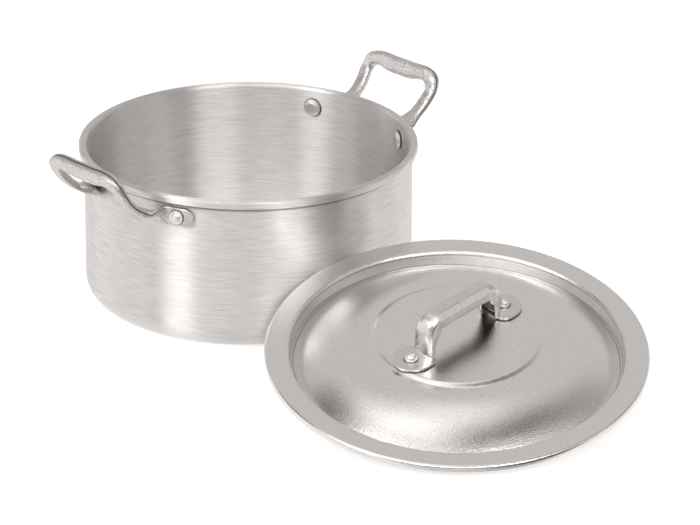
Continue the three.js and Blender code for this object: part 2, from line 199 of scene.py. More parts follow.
class BridgeSizes(bpy.types.PropertyGroup):
    """Sizes of the bridge handle of the lid."""

    span: length("Length", "Length of the handle over its legs", 75)
    rise: length("Rise", "Height of the handle over its foot plates", 30.4)
    width: length("Width", "Width of the bar", 15.2)
    depth: length("Depth", "Depth of the bar", 11.4)
    sheet: length("Sheet", "Thickness of the pressed sheet", 1.6)
    bevel: length("Bevel", "Width of the bevel along the top", 3.6)
    edge_round: length("Edge round", "Rounding of the bar's long edges", 0.8)
    leg_fullness: amount("Leg fullness", "How boxy the rounded legs are", 0.62)
    leg_spread: amount("Leg spread", "How much wider than the bar a leg is, as a share", 0.1)
    leg_taper: length("Leg taper", "How much thinner a leg is at its foot", 5.2)
    lip_round: length("Lip round", "Rounding of the cut edges below", 0.5)
    corner: length("Corner", "Radius of the bends", 9)
    fillet: length("Fillet", "Radius of the fillet at a leg's foot", 1.6)
    foot_length: length("Foot length", "Length of a foot plate", 33.5)
    foot_width: length("Foot width", "Width of a foot plate", 29.4)
    foot_thickness: length("Foot thickness", "Thickness of a foot plate", 1.8)
    foot_reach: length("Foot reach", "Distance of a plate's end from the middle", 61)
    gap: length("Gap", "Clearance under a foot plate", 0.3)
    rivet_reach: length("Rivet reach", "Distance of a rivet from the middle", 47.7)
    shank: length("Shank", "Radius of a rivet's shank", 2.2)
    collar: length("Collar", "Radius of a rivet's collar", 4.7)
    collar_height: length("Collar height", "Height of a rivet's collar", 1.3)
    collar_round: length("Collar round", "Rounding of a rivet's collar", 0.4)
    head: length("Head", "Radius of a rivet's domed end", 3.8)
    head_height: length("Head height", "Height of a rivet's domed end", 3.2)
    head_ledge: length("Head ledge", "Flat ring round the foot of the domed end", 0.2)
    tail: length("Tail", "Radius of a rivet's head under the lid", 4.6)
    tail_height: length("Tail height", "Height of a rivet's head under the lid", 1.6)
    tail_round: length("Tail round", "Rounding of a rivet's head under the lid", 0.6)


class FinishSettings(bpy.types.PropertyGroup):
    """Colours of the metals."""

    spun: colour("Spun", "Colour of the spun sheet", (0.92, 0.905, 0.895))
    spun_dark: colour("Spun lines", "Colour of the fine turned lines", (0.78, 0.765, 0.755))
    cast: colour("Cast", "Colour of the cast handles", (0.80, 0.78, 0.775))
    pressed: colour("Pressed", "Colour of the pressed lid handle", (0.78, 0.765, 0.755))
    cast_dark: colour("Cast pits", "Colour of the casting pits", (0.30, 0.28, 0.27))
    # Painted shade: a near black that stands in for the shade in seams, creases, hollows, under the rim, at
    # joints and round the rivets
    painted_shade: colour("Shade", "Colour of seams and hidden faces", (0.10, 0.095, 0.09))
    rivet: colour("Rivet", "Colour of the rivets", (0.82, 0.80, 0.785))
    rivet_dark: colour("Rivet marks", "Colour of the marks on the rivets", (0.58, 0.56, 0.55))


class StageSettings(bpy.types.PropertyGroup):
    """Floor, light and camera."""

    heading: turn("Heading", "Bearing that the camera looks along", 46)
    pitch: turn("Pitch", "How far the camera looks down", 22.464)
    roll: turn("Roll", "Roll of the camera", 0.284)
    lens: amount("Lens", "Focal length in millimetres on a 36 mm frame", 246.78)
    place: FloatVectorProperty(name="Camera place", description="Where the camera stands", size=3,
                               default=(-2.2768, -2.4680, 1.4080), unit="LENGTH", subtype="TRANSLATION")
    floor: length("Floor", "Width of the floor", 12000)
    floor_tone: amount("Floor tone", "How pale the floor is", 0.9)
    floor_glow: amount("Floor glow", "Light of the floor that only the camera sees", 0.4)
    aim: FloatVectorProperty(name="Aim", description="Where the lamp points", size=3,
                             default=(-0.02, -0.13, 0.05), unit="LENGTH", subtype="TRANSLATION")
    sky_level: amount("Studio level", "Brightness of the studio panels", 1.0)
    box_level: amount("Soft box level", "Brightness of the soft box", 0.4)
    box_length: length("Soft box length", "Length of the soft box", 2240)
    box_width: length("Soft box width", "Width of the soft box", 1100)
    box_distance: length("Soft box distance", "Distance of the soft box from where it points", 2200)
    box_left: turn("Soft box left", "Lean of the soft box to the left of overhead", 12)
    box_front: turn("Soft box front", "Lean of the soft box to the front of overhead", 6)
    box_turn: turn("Soft box turn", "Turn of the soft box's left end to the front", 15)
    warmth: colour("Warmth", "Tint of the studio light", (1.0, 0.972, 0.956))


# Profiles and bars

def arc(x, y, rx, ry, start, end, steps):
    """Points of an elliptical arc, angles in degrees."""
    points = []
    for step in range(steps + 1):
        angle = math.radians(start + (end - start) * step / steps)
        points.append((x + rx * math.cos(angle), y + ry * math.sin(angle)))
    return points


def bend(x, y, radius, start, end, steps=10):
    """Points of a circular arc, angles in degrees."""
    return arc(x, y, radius, radius, start, end, steps)


def straight(start, end, steps):
    """Points between two points, without the first."""
    return [(start[0] + (end[0] - start[0]) * step / steps, start[1] + (end[1] - start[1]) * step / steps)
            for step in range(1, steps + 1)]


def softened(corners, steps=5):
    """A closed outline of (x, y, cut) corners, each rounded over its cut."""
    made = []
    for spot, (x, y, cut) in enumerate(corners):
        here = Vector((x, y))
        before = Vector(corners[spot - 1][:2])
        after = Vector(corners[(spot + 1) % len(corners)][:2])
        start = here + (before - here).normalized() * cut
        end = here + (after - here).normalized() * cut
        for step in range(steps + 1):
            share = step / steps
            made.append(tuple(start * (1 - share) ** 2 + here * 2 * share * (1 - share) + end * share ** 2))
    return made


def shaded(piece, shades):
    """The painted shade of each point of a piece, from 0 to 1, kept for its material."""
    layer = piece.data.attributes.new("shade", "FLOAT", "POINT")
    layer.data.foreach_set("value", shades)


def creased(piece, creases):
    """Painted shade lines on a turned piece round its creases, which are (radius, height) in its own place.
    """
    shades = []
    for spot in piece.data.attributes["own_place"].data:
        here = Vector((math.hypot(spot.vector.x, spot.vector.y), spot.vector.z))
        nearest = min((here - Vector(crease)).length for crease in creases)
        shades.append(max(1 - nearest / CREASE_REACH, 0))
    shaded(piece, shades)


def guarded(points, reach=GUARD):
    """A profile with a point close to each end of its long straight runs, which keeps the shading crisp."""
    made = [points[0]]
    for start, end in zip(points, points[1:]):
        run = Vector(end) - Vector(start)
        if run.length > 8 * reach:
            step = run.normalized() * reach
            made += [tuple(Vector(start) + step), tuple(Vector(end) - step)]
        made.append(end)
    return made


def offset(points, distance):
    """A profile moved sideways along its own normals, as the far face of a sheet."""
    made = []
    for spot, point in enumerate(points):
        here = Vector(point)
        into = here - Vector(points[spot - 1]) if spot > 0 else None
        out = Vector(points[spot + 1]) - here if spot + 1 < len(points) else None
        into = (into if into is not None else out).normalized()
        out = (out if out is not None else into).normalized()
        along = (into + out).normalized()
        mitre = distance / max(along.dot(out), 0.5)
        made.append((here.x + along.y * mitre, here.y - along.x * mitre))
    return made


def held(value):
    """A number held between 0 and 1."""
    return min(max(value, 0), 1)


def smooth_row(points):
    """A function of 0 to 1 along a centripetal curve through points."""
    ends = [points[0] * 2 - points[1], *points, points[-1] * 2 - points[-2]]

    def place(share):
        spot = min(int(share * (len(points) - 1)), len(points) - 2)
        weight = share * (len(points) - 1) - spot
        p0, p1, p2, p3 = ends[spot:spot + 4]
        t1 = math.sqrt((p2 - p1).length) or 1.0
        t0 = math.sqrt((p1 - p0).length) or t1
        t2 = math.sqrt((p3 - p2).length) or t1
        m1 = ((p1 - p0) / t0 - (p2 - p0) / (t0 + t1) + (p2 - p1) / t1) * t1
        m2 = ((p2 - p1) / t1 - (p3 - p1) / (t1 + t2) + (p3 - p2) / t2) * t1
        c2 = -3 * p1 + 3 * p2 - 2 * m1 - m2
        c3 = 2 * p1 - 2 * p2 + m1 + m2
        return p1 + m1 * weight + c2 * weight ** 2 + c3 * weight ** 3

    return place


def lofted(rings):
    """Vertices and faces of a closed skin over rings of points, with its two ends capped."""
    size = len(rings[0])
    vertices = [point for ring in rings for point in ring]
    faces = []
    for ring in range(len(rings) - 1):
        for point in range(size):
            after = (point + 1) % size
            low, high = ring * size, (ring + 1) * size
            faces.append((low + point, low + after, high + after, high + point))
    last = (len(rings) - 1) * size
    faces.append(tuple(range(size))[::-1])
    faces.append(tuple(range(last, last + size)))
    return vertices, faces


# Objects

def mesh_object(name, vertices, faces, material):
    """A new smooth mesh object with faces that point out."""
    mesh = bpy.data.meshes.new(name)
    mesh.from_pydata(vertices, [], faces)
    mesh.materials.append(material)
    made = bpy.data.objects.new(name, mesh)
    bpy.context.scene.collection.objects.link(made)
    face_out(made)
    return made


def face_out(piece):
    """Faces of a closed piece turned outward and shaded smooth."""
    work = bmesh.new()
    work.from_mesh(piece.data)
    bmesh.ops.recalc_face_normals(work, faces=work.faces)
    if work.calc_volume(signed=True) < 0:
        bmesh.ops.reverse_faces(work, faces=work.faces)
    for face in work.faces:
        face.smooth = True
    work.to_mesh(piece.data)
    work.free()


def profile_object(name, profile):
    """A mesh object whose points are a profile of (radius, height)."""
    mesh = bpy.data.meshes.new(name)
    mesh.from_pydata([(radius, 0, height) for radius, height in profile],
                     [(spot, spot + 1) for spot in range(len(profile) - 1)], [])
    made = bpy.data.objects.new(name, mesh)
    bpy.context.scene.collection.objects.link(made)
    return made


def settle(piece, tree, inputs, matrix=None):
    """A node tree run on a piece and kept as its plain mesh, placed by a matrix."""
    modifier = piece.modifiers.new("Build", "NODES")
    modifier.node_group = tree
    for socket in tree.interface.items_tree:
        if socket.in_out == "INPUT" and socket.name in inputs:
            modifier[socket.identifier] = inputs[socket.name]
    bpy.context.view_layer.update()
    graph = bpy.context.evaluated_depsgraph_get()
    mesh = bpy.data.meshes.new_from_object(piece.evaluated_get(graph), preserve_all_data_layers=True,
                                           depsgraph=graph)
    piece.modifiers.remove(modifier)
    piece.data = mesh
    mesh.name = piece.name
    if matrix is not None:
        mesh.transform(matrix)
    face_out(piece)
    return piece


def lid_matrix(sizes):
    """Where the lid's own axes stand: its middle at the height of its flange, X along its handle."""
    axis = Vector(frame["joints"][0]["axis"]).normalized()

    def middle(node):
        places = [vertex.co for vertex in frame["nodes"][node].data.vertices]
        return sum(places, Vector()) / len(places)

    low, high = middle("lid_rivet_a"), middle("lid_rivet_b")
    across = (high - low).normalized()
    centre = (low + high) / 2
    top = max(axis.dot(vertex.co) for vertex in frame["nodes"]["lid_cover"].data.vertices)
    centre += axis * (top - sizes.field_height - axis.dot(centre))
    side = axis.cross(across)
    matrix = Matrix((across, side, axis)).transposed().to_4x4()
    matrix.translation = centre
    return matrix


# Nodes, and the node trees that build pieces

def add(tree, kind, inputs=None, **settings):
    """A node with its settings, and its inputs set to values or linked to sockets."""
    node = tree.nodes.new(kind)
    for key, value in settings.items():
        setattr(node, key, value)
    for key, value in (inputs or {}).items():
        socket = node.inputs[key]
        if isinstance(value, bpy.types.NodeSocket):
            tree.links.new(value, socket)
        else:
            socket.default_value = value
    return node


def maths(tree, operation, first, second=0.0, third=0.0):
    """The result of a math node."""
    return add(tree, "ShaderNodeMath", {0: first, 1: second, 2: third}, operation=operation).outputs[0]


def vector(tree, operation, first, second=(0, 0, 0), output=0):
    """The result of a vector math node."""
    return add(tree, "ShaderNodeVectorMath", {0: first, 1: second}, operation=operation).outputs[output]


def size_of(tree, place):
    """The length of a vector."""
    return vector(tree, "LENGTH", place, output="Value")


def split(tree, place):
    """The X, Y and Z of a vector."""
    return add(tree, "ShaderNodeSeparateXYZ", {0: place}).outputs


def packed(tree, **parts):
    """A vector from its X, Y and Z."""
    return add(tree, "ShaderNodeCombineXYZ", parts).outputs[0]


def noise(tree, place, scale, detail, roughness):
    """Soft noise at a place."""
    return add(tree, "ShaderNodeTexNoise", {"Vector": place, "Scale": scale, "Detail": detail,
                                            "Roughness": roughness}).outputs[0]


def new_tree(name, kind, inputs, outputs):
    """A node tree with named sockets, and its input and output nodes."""
    tree = bpy.data.node_groups.new(name, kind)
    for way, rows in (("INPUT", inputs), ("OUTPUT", outputs)):
        for label, socket, value in rows:
            made = tree.interface.new_socket(name=label, in_out=way, socket_type="NodeSocket" + socket)
            if value is not None:
                made.default_value = value
    return tree, tree.nodes.new("NodeGroupInput"), tree.nodes.new("NodeGroupOutput")


def turned_tree():
    """A profile turned round Z, with a UV map along and round it."""
    name = "Turned piece"
    if name in bpy.data.node_groups:
        return bpy.data.node_groups[name]
    tree, given, made = new_tree(name, "GeometryNodeTree",
                                 [("Profile", "Geometry", None), ("Segments", "Int", 64),
                                  ("Material", "Material", None)],
                                 [("Piece", "Geometry", None)])
    profile, segments = given.outputs["Profile"], given.outputs["Segments"]
    points = add(tree, "GeometryNodeAttributeDomainSize", {"Geometry": profile}, component="MESH")
    around = maths(tree, "ADD", segments, 1)
    grid = add(tree, "GeometryNodeMeshGrid",
               {"Vertices X": points.outputs["Point Count"], "Vertices Y": around})
    index = add(tree, "GeometryNodeInputIndex").outputs[0]
    row = maths(tree, "FLOOR", maths(tree, "DIVIDE", maths(tree, "ADD", index, 0.5), around))
    step = maths(tree, "SUBTRACT", index, maths(tree, "MULTIPLY", row, around))
    angle = maths(tree, "DIVIDE", maths(tree, "MULTIPLY", step, TAU), segments)
    place = add(tree, "GeometryNodeInputPosition").outputs[0]
    spot = add(tree, "GeometryNodeSampleIndex", data_type="FLOAT_VECTOR", domain="POINT")
    for label, value in (("Geometry", profile), ("Value", place), ("Index", row)):
        tree.links.new(value, spot.inputs[label])
    parts = split(tree, spot.outputs[0])
    spread = packed(tree, X=maths(tree, "MULTIPLY", parts["X"], maths(tree, "COSINE", angle)),
                    Y=maths(tree, "MULTIPLY", parts["X"], maths(tree, "SINE", angle)), Z=parts["Z"])
    shaped = add(tree, "GeometryNodeSetPosition", {"Geometry": grid.outputs["Mesh"], "Position": spread})
    kept = shaped
    for label, kind, domain, value in (("UVMap", "FLOAT2", "CORNER", grid.outputs["UV Map"]),
                                       ("own_place", "FLOAT_VECTOR", "POINT", place)):
        kept = add(tree, "GeometryNodeStoreNamedAttribute", {"Geometry": kept.outputs[0], "Name": label},
                   data_type=kind, domain=domain)
        tree.links.new(value, kept.inputs["Value"])
    closed = add(tree, "GeometryNodeMergeByDistance", {"Geometry": kept.outputs[0], "Distance": 1e-6})
    clad = add(tree, "GeometryNodeSetMaterial",
               {"Geometry": closed.outputs[0], "Material": given.outputs["Material"]})
    tree.links.new(clad.outputs[0], made.inputs["Piece"])
    return tree


def turned_node(tree, given):
    """A turned piece inside another tree."""
    node = add(tree, "GeometryNodeGroup", node_tree=turned_tree())
    for label in ("Profile", "Segments", "Material"):
        tree.links.new(given.outputs[label], node.inputs[label])
    return node


def rivet_tree(name, extra, spread):
    """Turned rivets on a row of points: spread gives their number, places and turns."""
    tree, given, made = new_tree(name, "GeometryNodeTree",
                                 [("Profile", "Geometry", None), ("Segments", "Int", 32),
                                  ("Material", "Material", None), *extra],
                                 [("Rivets", "Geometry", None)])
    rivet = turned_node(tree, given)
    number, place, turned = spread(tree, given)
    points = add(tree, "GeometryNodePoints", {"Count": number, "Position": place})
    set_out = add(tree, "GeometryNodeInstanceOnPoints",
                  {"Points": points.outputs[0], "Instance": rivet.outputs[0], "Rotation": turned})
    real = add(tree, "GeometryNodeRealizeInstances", {"Geometry": set_out.outputs[0]})
    clad = add(tree, "GeometryNodeSetMaterial",
               {"Geometry": real.outputs[0], "Material": given.outputs["Material"]})
    tree.links.new(clad.outputs[0], made.inputs["Rivets"])
    return tree


def wall_spread(tree, given):
    """Two rivets to each side of the pot, with their axes on its radius."""
    index = add(tree, "GeometryNodeInputIndex").outputs[0]
    side = maths(tree, "FLOOR", maths(tree, "DIVIDE", index, 2))
    hand = maths(tree, "SUBTRACT", maths(tree, "MULTIPLY", maths(tree, "MODULO", index, 2), 2), 1)
    angle = maths(tree, "ADD", maths(tree, "MULTIPLY", side, math.pi),
                  maths(tree, "MULTIPLY", hand, given.outputs["Angle"]))
    return 4, packed(tree, Z=given.outputs["Height"]), packed(tree, Y=math.pi / 2, Z=angle)


def lid_spread(tree, given):
    """One rivet to each side of the lid's middle."""
    index = add(tree, "GeometryNodeInputIndex").outputs[0]
    hand = maths(tree, "SUBTRACT", maths(tree, "MULTIPLY", index, 2), 1)
    return 2, packed(tree, X=maths(tree, "MULTIPLY", hand, given.outputs["Reach"])), (0, 0, 0)


# Node groups and materials

def shader_group(name, inputs, outputs, build):
    """A shader group of numbers from a place, built once: build gives its results in order."""
    if name in bpy.data.node_groups:
        return bpy.data.node_groups[name]
    given_rows = [("Place", "Vector", None), *((label, "Float", value) for label, value in inputs)]
    made_rows = [(label, "Float", None) for label in outputs]
    tree, given, made = new_tree(name, "ShaderNodeTree", given_rows, made_rows)
    for label, result in zip(outputs, build(tree, given.outputs)):
        tree.links.new(result, made.inputs[label])
    return tree


def lines_group():
    """Fine broken lines round a turned piece, from its own place."""
    def build(tree, given):
        parts = split(tree, given["Place"])
        flat = packed(tree, X=parts["X"], Y=parts["Y"])
        along = maths(tree, "ADD", size_of(tree, flat), parts["Z"])
        round_about = vector(tree, "NORMALIZE", flat)
        for share, breaks in ((1.0, 1.0), (0.22, 0.6)):
            wide = add(tree, "ShaderNodeVectorMath", {0: round_about}, operation="SCALE")
            tree.links.new(maths(tree, "MULTIPLY", given["Breaks"], breaks), wide.inputs["Scale"])
            lift = maths(tree, "MULTIPLY", maths(tree, "MULTIPLY", along, given["Fineness"]), share)
            yield noise(tree, vector(tree, "ADD", wide.outputs[0], packed(tree, Z=lift)), 1.0, 1.0, 0.5)

    return shader_group("Turned lines", [("Fineness", 900.0), ("Breaks", 4.0)], ("Lines", "Broad"), build)


def cloud_group():
    """Slow soft patches, as handling leaves on bare metal."""
    def build(tree, given):
        yield noise(tree, given["Place"], given["Scale"], 4.0, 0.55)

    return shader_group("Cloudy wear", [("Scale", 30.0)], ("Wear",), build)


def grain_group():
    """Fine even grain of a satin face."""
    def build(tree, given):
        yield noise(tree, given["Place"], given["Scale"], 2.0, 0.7)

    return shader_group("Satin grain", [("Scale", 1400.0)], ("Grain",), build)


def pits_group():
    """Casting pits and hammered unevenness of a polished casting."""
    def build(tree, given):
        place, scale = given["Place"], given["Scale"]
        fine = noise(tree, place, scale, 3.0, 0.6)
        broad = noise(tree, place, maths(tree, "MULTIPLY", scale, 0.3), 2.0, 0.5)
        cells = add(tree, "ShaderNodeTexVoronoi", {"Vector": place, "Randomness": 1.0})
        tree.links.new(maths(tree, "MULTIPLY", scale, 0.75), cells.inputs["Scale"])
        pits = maths(tree, "MULTIPLY", ranged(tree, cells.outputs["Distance"], 0.1, 0.42, 1.0, 0.0),
                     ranged(tree, broad, 0.46, 0.6))
        height = maths(tree, "ADD", maths(tree, "MULTIPLY", fine, 0.35),
                       maths(tree, "MULTIPLY", broad, 0.9))
        return maths(tree, "SUBTRACT", height, maths(tree, "MULTIPLY", pits, 0.5)), pits, fine

    return shader_group("Casting pits", [("Scale", 420.0)], ("Height", "Pits", "Mottle"), build)


def metal(name):
    """A new bare metal: the material, its tree and its shader."""
    material = bpy.data.materials.new(name)
    material.use_nodes = True
    shader = material.node_tree.nodes["Principled BSDF"]
    shader.inputs["Metallic"].default_value = 1.0
    return material, material.node_tree, shader


def group(tree, group_tree, inputs):
    """A node group inside a material."""
    return add(tree, "ShaderNodeGroup", inputs, node_tree=group_tree)


def ranged(tree, value, low, high, start=0.0, end=1.0):
    """A value moved from one range to another, held at its ends."""
    return add(tree, "ShaderNodeMapRange", {"Value": value, "From Min": low, "From Max": high,
                                            "To Min": start, "To Max": end}).outputs[0]


def mixed(tree, share, first, second):
    """A mix of two colours."""
    node = add(tree, "ShaderNodeMix", data_type="RGBA")
    tree.links.new(share, node.inputs["Factor"])
    for socket, value in ((node.inputs[6], first), (node.inputs[7], second)):
        if isinstance(value, bpy.types.NodeSocket):
            tree.links.new(value, socket)
        else:
            socket.default_value = (*value, 1)
    return node.outputs[2]


def bumped(tree, shader, height, strength, distance):
    """Relief on a shader."""
    bump = add(tree, "ShaderNodeBump", {"Height": height, "Strength": strength, "Distance": distance})
    tree.links.new(bump.outputs[0], shader.inputs["Normal"])


def own_place(tree):
    """A piece's own place, as it was before the piece was set down."""
    return add(tree, "ShaderNodeAttribute", attribute_name="own_place").outputs["Vector"]


def shade(tree):
    """The painted shade of a piece's seams and hidden faces."""
    return add(tree, "ShaderNodeAttribute", attribute_name="shade").outputs["Fac"]


def axis_distance(tree, place):
    """Distance of a place from the upright axis."""
    return size_of(tree, vector(tree, "MULTIPLY", place, (1, 1, 0)))


def band(tree, value, middle, half):
    """One within half of a middle value, falling to nothing over a soft edge."""
    off = maths(tree, "ABSOLUTE", maths(tree, "SUBTRACT", value, middle))
    return ranged(tree, off, half, half * 1.5, 1.0, 0.0)


def shade_ring_round(tree, aside, above, radius):
    """A ring of painted shade close round a rivet's head of a radius, falling to nothing outward."""
    away = size_of(tree, packed(tree, X=aside, Y=above))
    return ranged(tree, away, radius + SHADE_RING_START, radius + SHADE_RING_END, SHADE_RING_LEVEL, 0.0)


def wall_shade_ring(tree, loop, pot, radius):
    """A ring of painted shade round the rivets of the loop handles."""
    place = add(tree, "ShaderNodeTexCoord").outputs["Object"]
    across = (-math.sin(loop.rivet_angle), math.cos(loop.rivet_angle), 0)
    aside = vector(tree, "DOT_PRODUCT", vector(tree, "ABSOLUTE", place), across, "Value")
    above = maths(tree, "SUBTRACT", split(tree, place)["Z"], pot.height - loop.rivet_drop)
    return shade_ring_round(tree, aside, above, radius)


def bridge_shade_ring(tree, bridge):
    """A ring of painted shade round the rivets of the lid handle."""
    parts = split(tree, vector(tree, "ABSOLUTE", own_place(tree)))
    aside = maths(tree, "SUBTRACT", parts["X"], bridge.rivet_reach)
    return shade_ring_round(tree, aside, parts["Y"], bridge.collar)


def spun_pot(finish, pot, loop, rivet):
    """Spun aluminium with fine turned lines, which draw its highlights out upright, and with painted shade
    in a line under the rim and in rings round the inner rivet heads.
    """
    material, tree, shader = metal("spun_aluminium_pot")
    place = own_place(tree)
    lines = group(tree, lines_group(), {"Place": place, "Fineness": 1900.0, "Breaks": 7.0})
    wear = group(tree, cloud_group(), {"Place": place, "Scale": 26.0})
    both = maths(tree, "ADD", maths(tree, "MULTIPLY", lines.outputs["Lines"], 0.94),
                 maths(tree, "MULTIPLY", lines.outputs["Broad"], 0.06))
    tone = ranged(tree, both, 0.38, 0.62)
    radius = axis_distance(tree, place)
    outer = pot.inner_radius + pot.wall
    # Painted shade: a dark line on the wall under the rim
    low = band(tree, split(tree, place)["Z"], pot.height - pot.rim_depth, pot.rim_shade_height)
    under = maths(tree, "MULTIPLY", low, band(tree, radius, outer, pot.rim_shade_depth))
    # Painted shade: a ring round each inner rivet head, on the inside of the wall only
    ring = maths(tree, "MULTIPLY", wall_shade_ring(tree, loop, pot, rivet.inner_head),
                 ranged(tree, radius, pot.inner_radius, outer, 1.0, 0.0))
    clean = mixed(tree, tone, finish.spun_dark, finish.spun)
    with_shade_lines = mixed(tree, maths(tree, "MULTIPLY", under, pot.rim_shade_level), clean, finish.painted_shade)
    tree.links.new(mixed(tree, ring, with_shade_lines, finish.painted_shade), shader.inputs["Base Color"])
    rough = maths(tree, "ADD", ranged(tree, both, 0.3, 0.7, 0.42, 0.38),
                  ranged(tree, wear.outputs["Wear"], 0.3, 0.7, -0.03, 0.03))
    tree.links.new(rough, shader.inputs["Roughness"])
    shader.inputs["Anisotropic"].default_value = 1.0
    tangent = add(tree, "ShaderNodeTangent", direction_type="UV_MAP", uv_map="UVMap")
    tree.links.new(tangent.outputs[0], shader.inputs["Tangent"])
    bumped(tree, shader, lines.outputs["Lines"], 0.15, 0.0002)
    return material


def ring_shade_lines(tree, place, lid):
    """Thin lines of painted shade along the foot and the upper bend of the lid's ring."""
    moat = lid.plug_radius - lid.step_draft
    beside = band(tree, axis_distance(tree, place), (moat + lid.plug_radius) / 2, lid.step_draft)
    height = split(tree, place)["Z"]
    rows = (lid.line_lift - lid.step_depth, lid.foot_shade), (-lid.bend, lid.bend_shade)
    lines = [maths(tree, "MULTIPLY", band(tree, height, middle, lid.line_width / 2), level)
             for middle, level in rows]
    return maths(tree, "MULTIPLY", maths(tree, "ADD", *lines), beside)


def spun_lid(finish, lid):
    """Spun aluminium with a satin grain over faint turned lines, and painted shade lines along its ring."""
    material, tree, shader = metal("spun_aluminium_lid")
    place = own_place(tree)
    lines = group(tree, lines_group(), {"Place": place, "Fineness": 1100.0, "Breaks": 3.0})
    grain = group(tree, grain_group(), {"Place": place, "Scale": 1000.0})
    wear = group(tree, cloud_group(), {"Place": place, "Scale": 22.0})
    both = maths(tree, "ADD", maths(tree, "MULTIPLY", grain.outputs["Grain"], 0.9),
                 maths(tree, "MULTIPLY", lines.outputs["Lines"], 0.1))
    tone = ranged(tree, both, 0.34, 0.66)
    clean = mixed(tree, tone, finish.spun_dark, finish.spun)
    # Painted shade lines along the ring
    with_shade_lines = mixed(tree, ring_shade_lines(tree, place, lid), clean, finish.painted_shade)
    tree.links.new(with_shade_lines, shader.inputs["Base Color"])
    rough = maths(tree, "ADD", ranged(tree, both, 0.3, 0.7, 0.17, 0.12),
                  ranged(tree, wear.outputs["Wear"], 0.3, 0.7, -0.03, 0.03))
    tree.links.new(rough, shader.inputs["Roughness"])
    bumped(tree, shader, both, 0.65, 0.00025)
    return material


def cast_metal(name, finish, face, scale, depth, rough, ring):
    """Polished aluminium of one colour with pits of a scale and depth, and painted shade in its seams,
    hollows and joints and in rings round its rivets.
    """
    material, tree, shader = metal(name)
    place = add(tree, "ShaderNodeTexCoord").outputs["Object"]
    pits = group(tree, pits_group(), {"Place": place, "Scale": scale})
    wear = group(tree, cloud_group(), {"Place": place, "Scale": 60.0})
    mottle = ranged(tree, pits.outputs["Mottle"], 0.38, 0.62)
    spots = maths(tree, "MAXIMUM", pits.outputs["Pits"], maths(tree, "MULTIPLY", mottle, 0.5))
    clean = mixed(tree, maths(tree, "MULTIPLY", spots, depth), face, finish.cast_dark)
    # Painted shade from the piece's shade attribute, then a painted shade ring round each rivet
    with_painted_shade = mixed(tree, ring(tree), mixed(tree, shade(tree), clean, finish.painted_shade), finish.painted_shade)
    tree.links.new(with_painted_shade, shader.inputs["Base Color"])
    dull = maths(tree, "ADD", ranged(tree, wear.outputs["Wear"], 0.3, 0.7, *rough),
                 maths(tree, "MULTIPLY", pits.outputs["Pits"], 0.15))
    tree.links.new(dull, shader.inputs["Roughness"])
    bumped(tree, shader, pits.outputs["Height"], depth, 0.0008)
    return material


def rivet_metal(finish):
    """Bright peened rivets with small marks, and painted shade in their creases."""
    name = "rivet_aluminium"
    if name in bpy.data.materials:
        return bpy.data.materials[name]
    material, tree, shader = metal(name)
    place = add(tree, "ShaderNodeTexCoord").outputs["Object"]
    pits = group(tree, pits_group(), {"Place": place, "Scale": 700.0})
    dark = maths(tree, "MULTIPLY", pits.outputs["Pits"], 0.6)
    clean = mixed(tree, dark, finish.rivet, finish.rivet_dark)
    tree.links.new(mixed(tree, shade(tree), clean, finish.painted_shade), shader.inputs["Base Color"])
    rough = ranged(tree, pits.outputs["Height"], 0.3, 0.9, 0.22, 0.34)
    tree.links.new(rough, shader.inputs["Roughness"])
    bumped(tree, shader, pits.outputs["Height"], 0.35, 0.0004)
    return material


# Operators, one for each piece or set of like pieces

class CASSEROLE_OT_pot_body(bpy.types.Operator):
    """Build the spun pot."""

    bl_idname = "casserole.pot_body"
    bl_label = "Pot body"

    def execute(self, context):
        size = context.scene.casserole_pot
        outer = size.inner_radius + size.wall
        across = outer - size.corner
        slot = size.rim_radius - size.wall
        slot_top = size.height - size.wall
        hem = size.wall / 2
        foot = size.height - size.rim_depth
        inside = size.corner - size.wall
        low = size.corner - size.base
        profile = [(0.0, 0.0), *straight((0, 0), (across * 0.98, 0), 6)]
        profile += bend(across, size.corner, size.corner, -90, 0, 20)
        profile += straight(profile[-1], (outer, slot_top - hem), 10)
        profile += bend(outer + hem / 2, slot_top - hem / 2, hem / 2, 180, 90, 4)
        profile += bend(slot - hem / 2, slot_top - hem / 2, hem / 2, 90, 0, 4)
        profile += bend(slot + hem, foot + hem, hem, 180, 360, 12)
        profile += bend(size.rim_radius - size.rim_outer_round, size.height - size.rim_outer_round,
                        size.rim_outer_round, 0, 90, 12)
        profile += bend(size.inner_radius + size.rim_inner_round, size.height - size.rim_inner_round,
                        size.rim_inner_round, 90, 180, 14)
        profile += straight(profile[-1], (size.inner_radius, size.corner * 1.02), 10)
        profile += arc(across, size.corner, inside, low, 0, -90, 20)
        profile += straight(profile[-1], (0, size.base), 8)
        piece = profile_object("pot_body_spun", guarded(profile))
        scene = context.scene
        material = spun_pot(scene.casserole_finish, size, scene.casserole_loop, scene.casserole_rivet)
        settle(piece, turned_tree(), {"Segments": size.segments, "Material": material})
        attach(piece, "pot")
        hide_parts("pot_body")
        return {"FINISHED"}


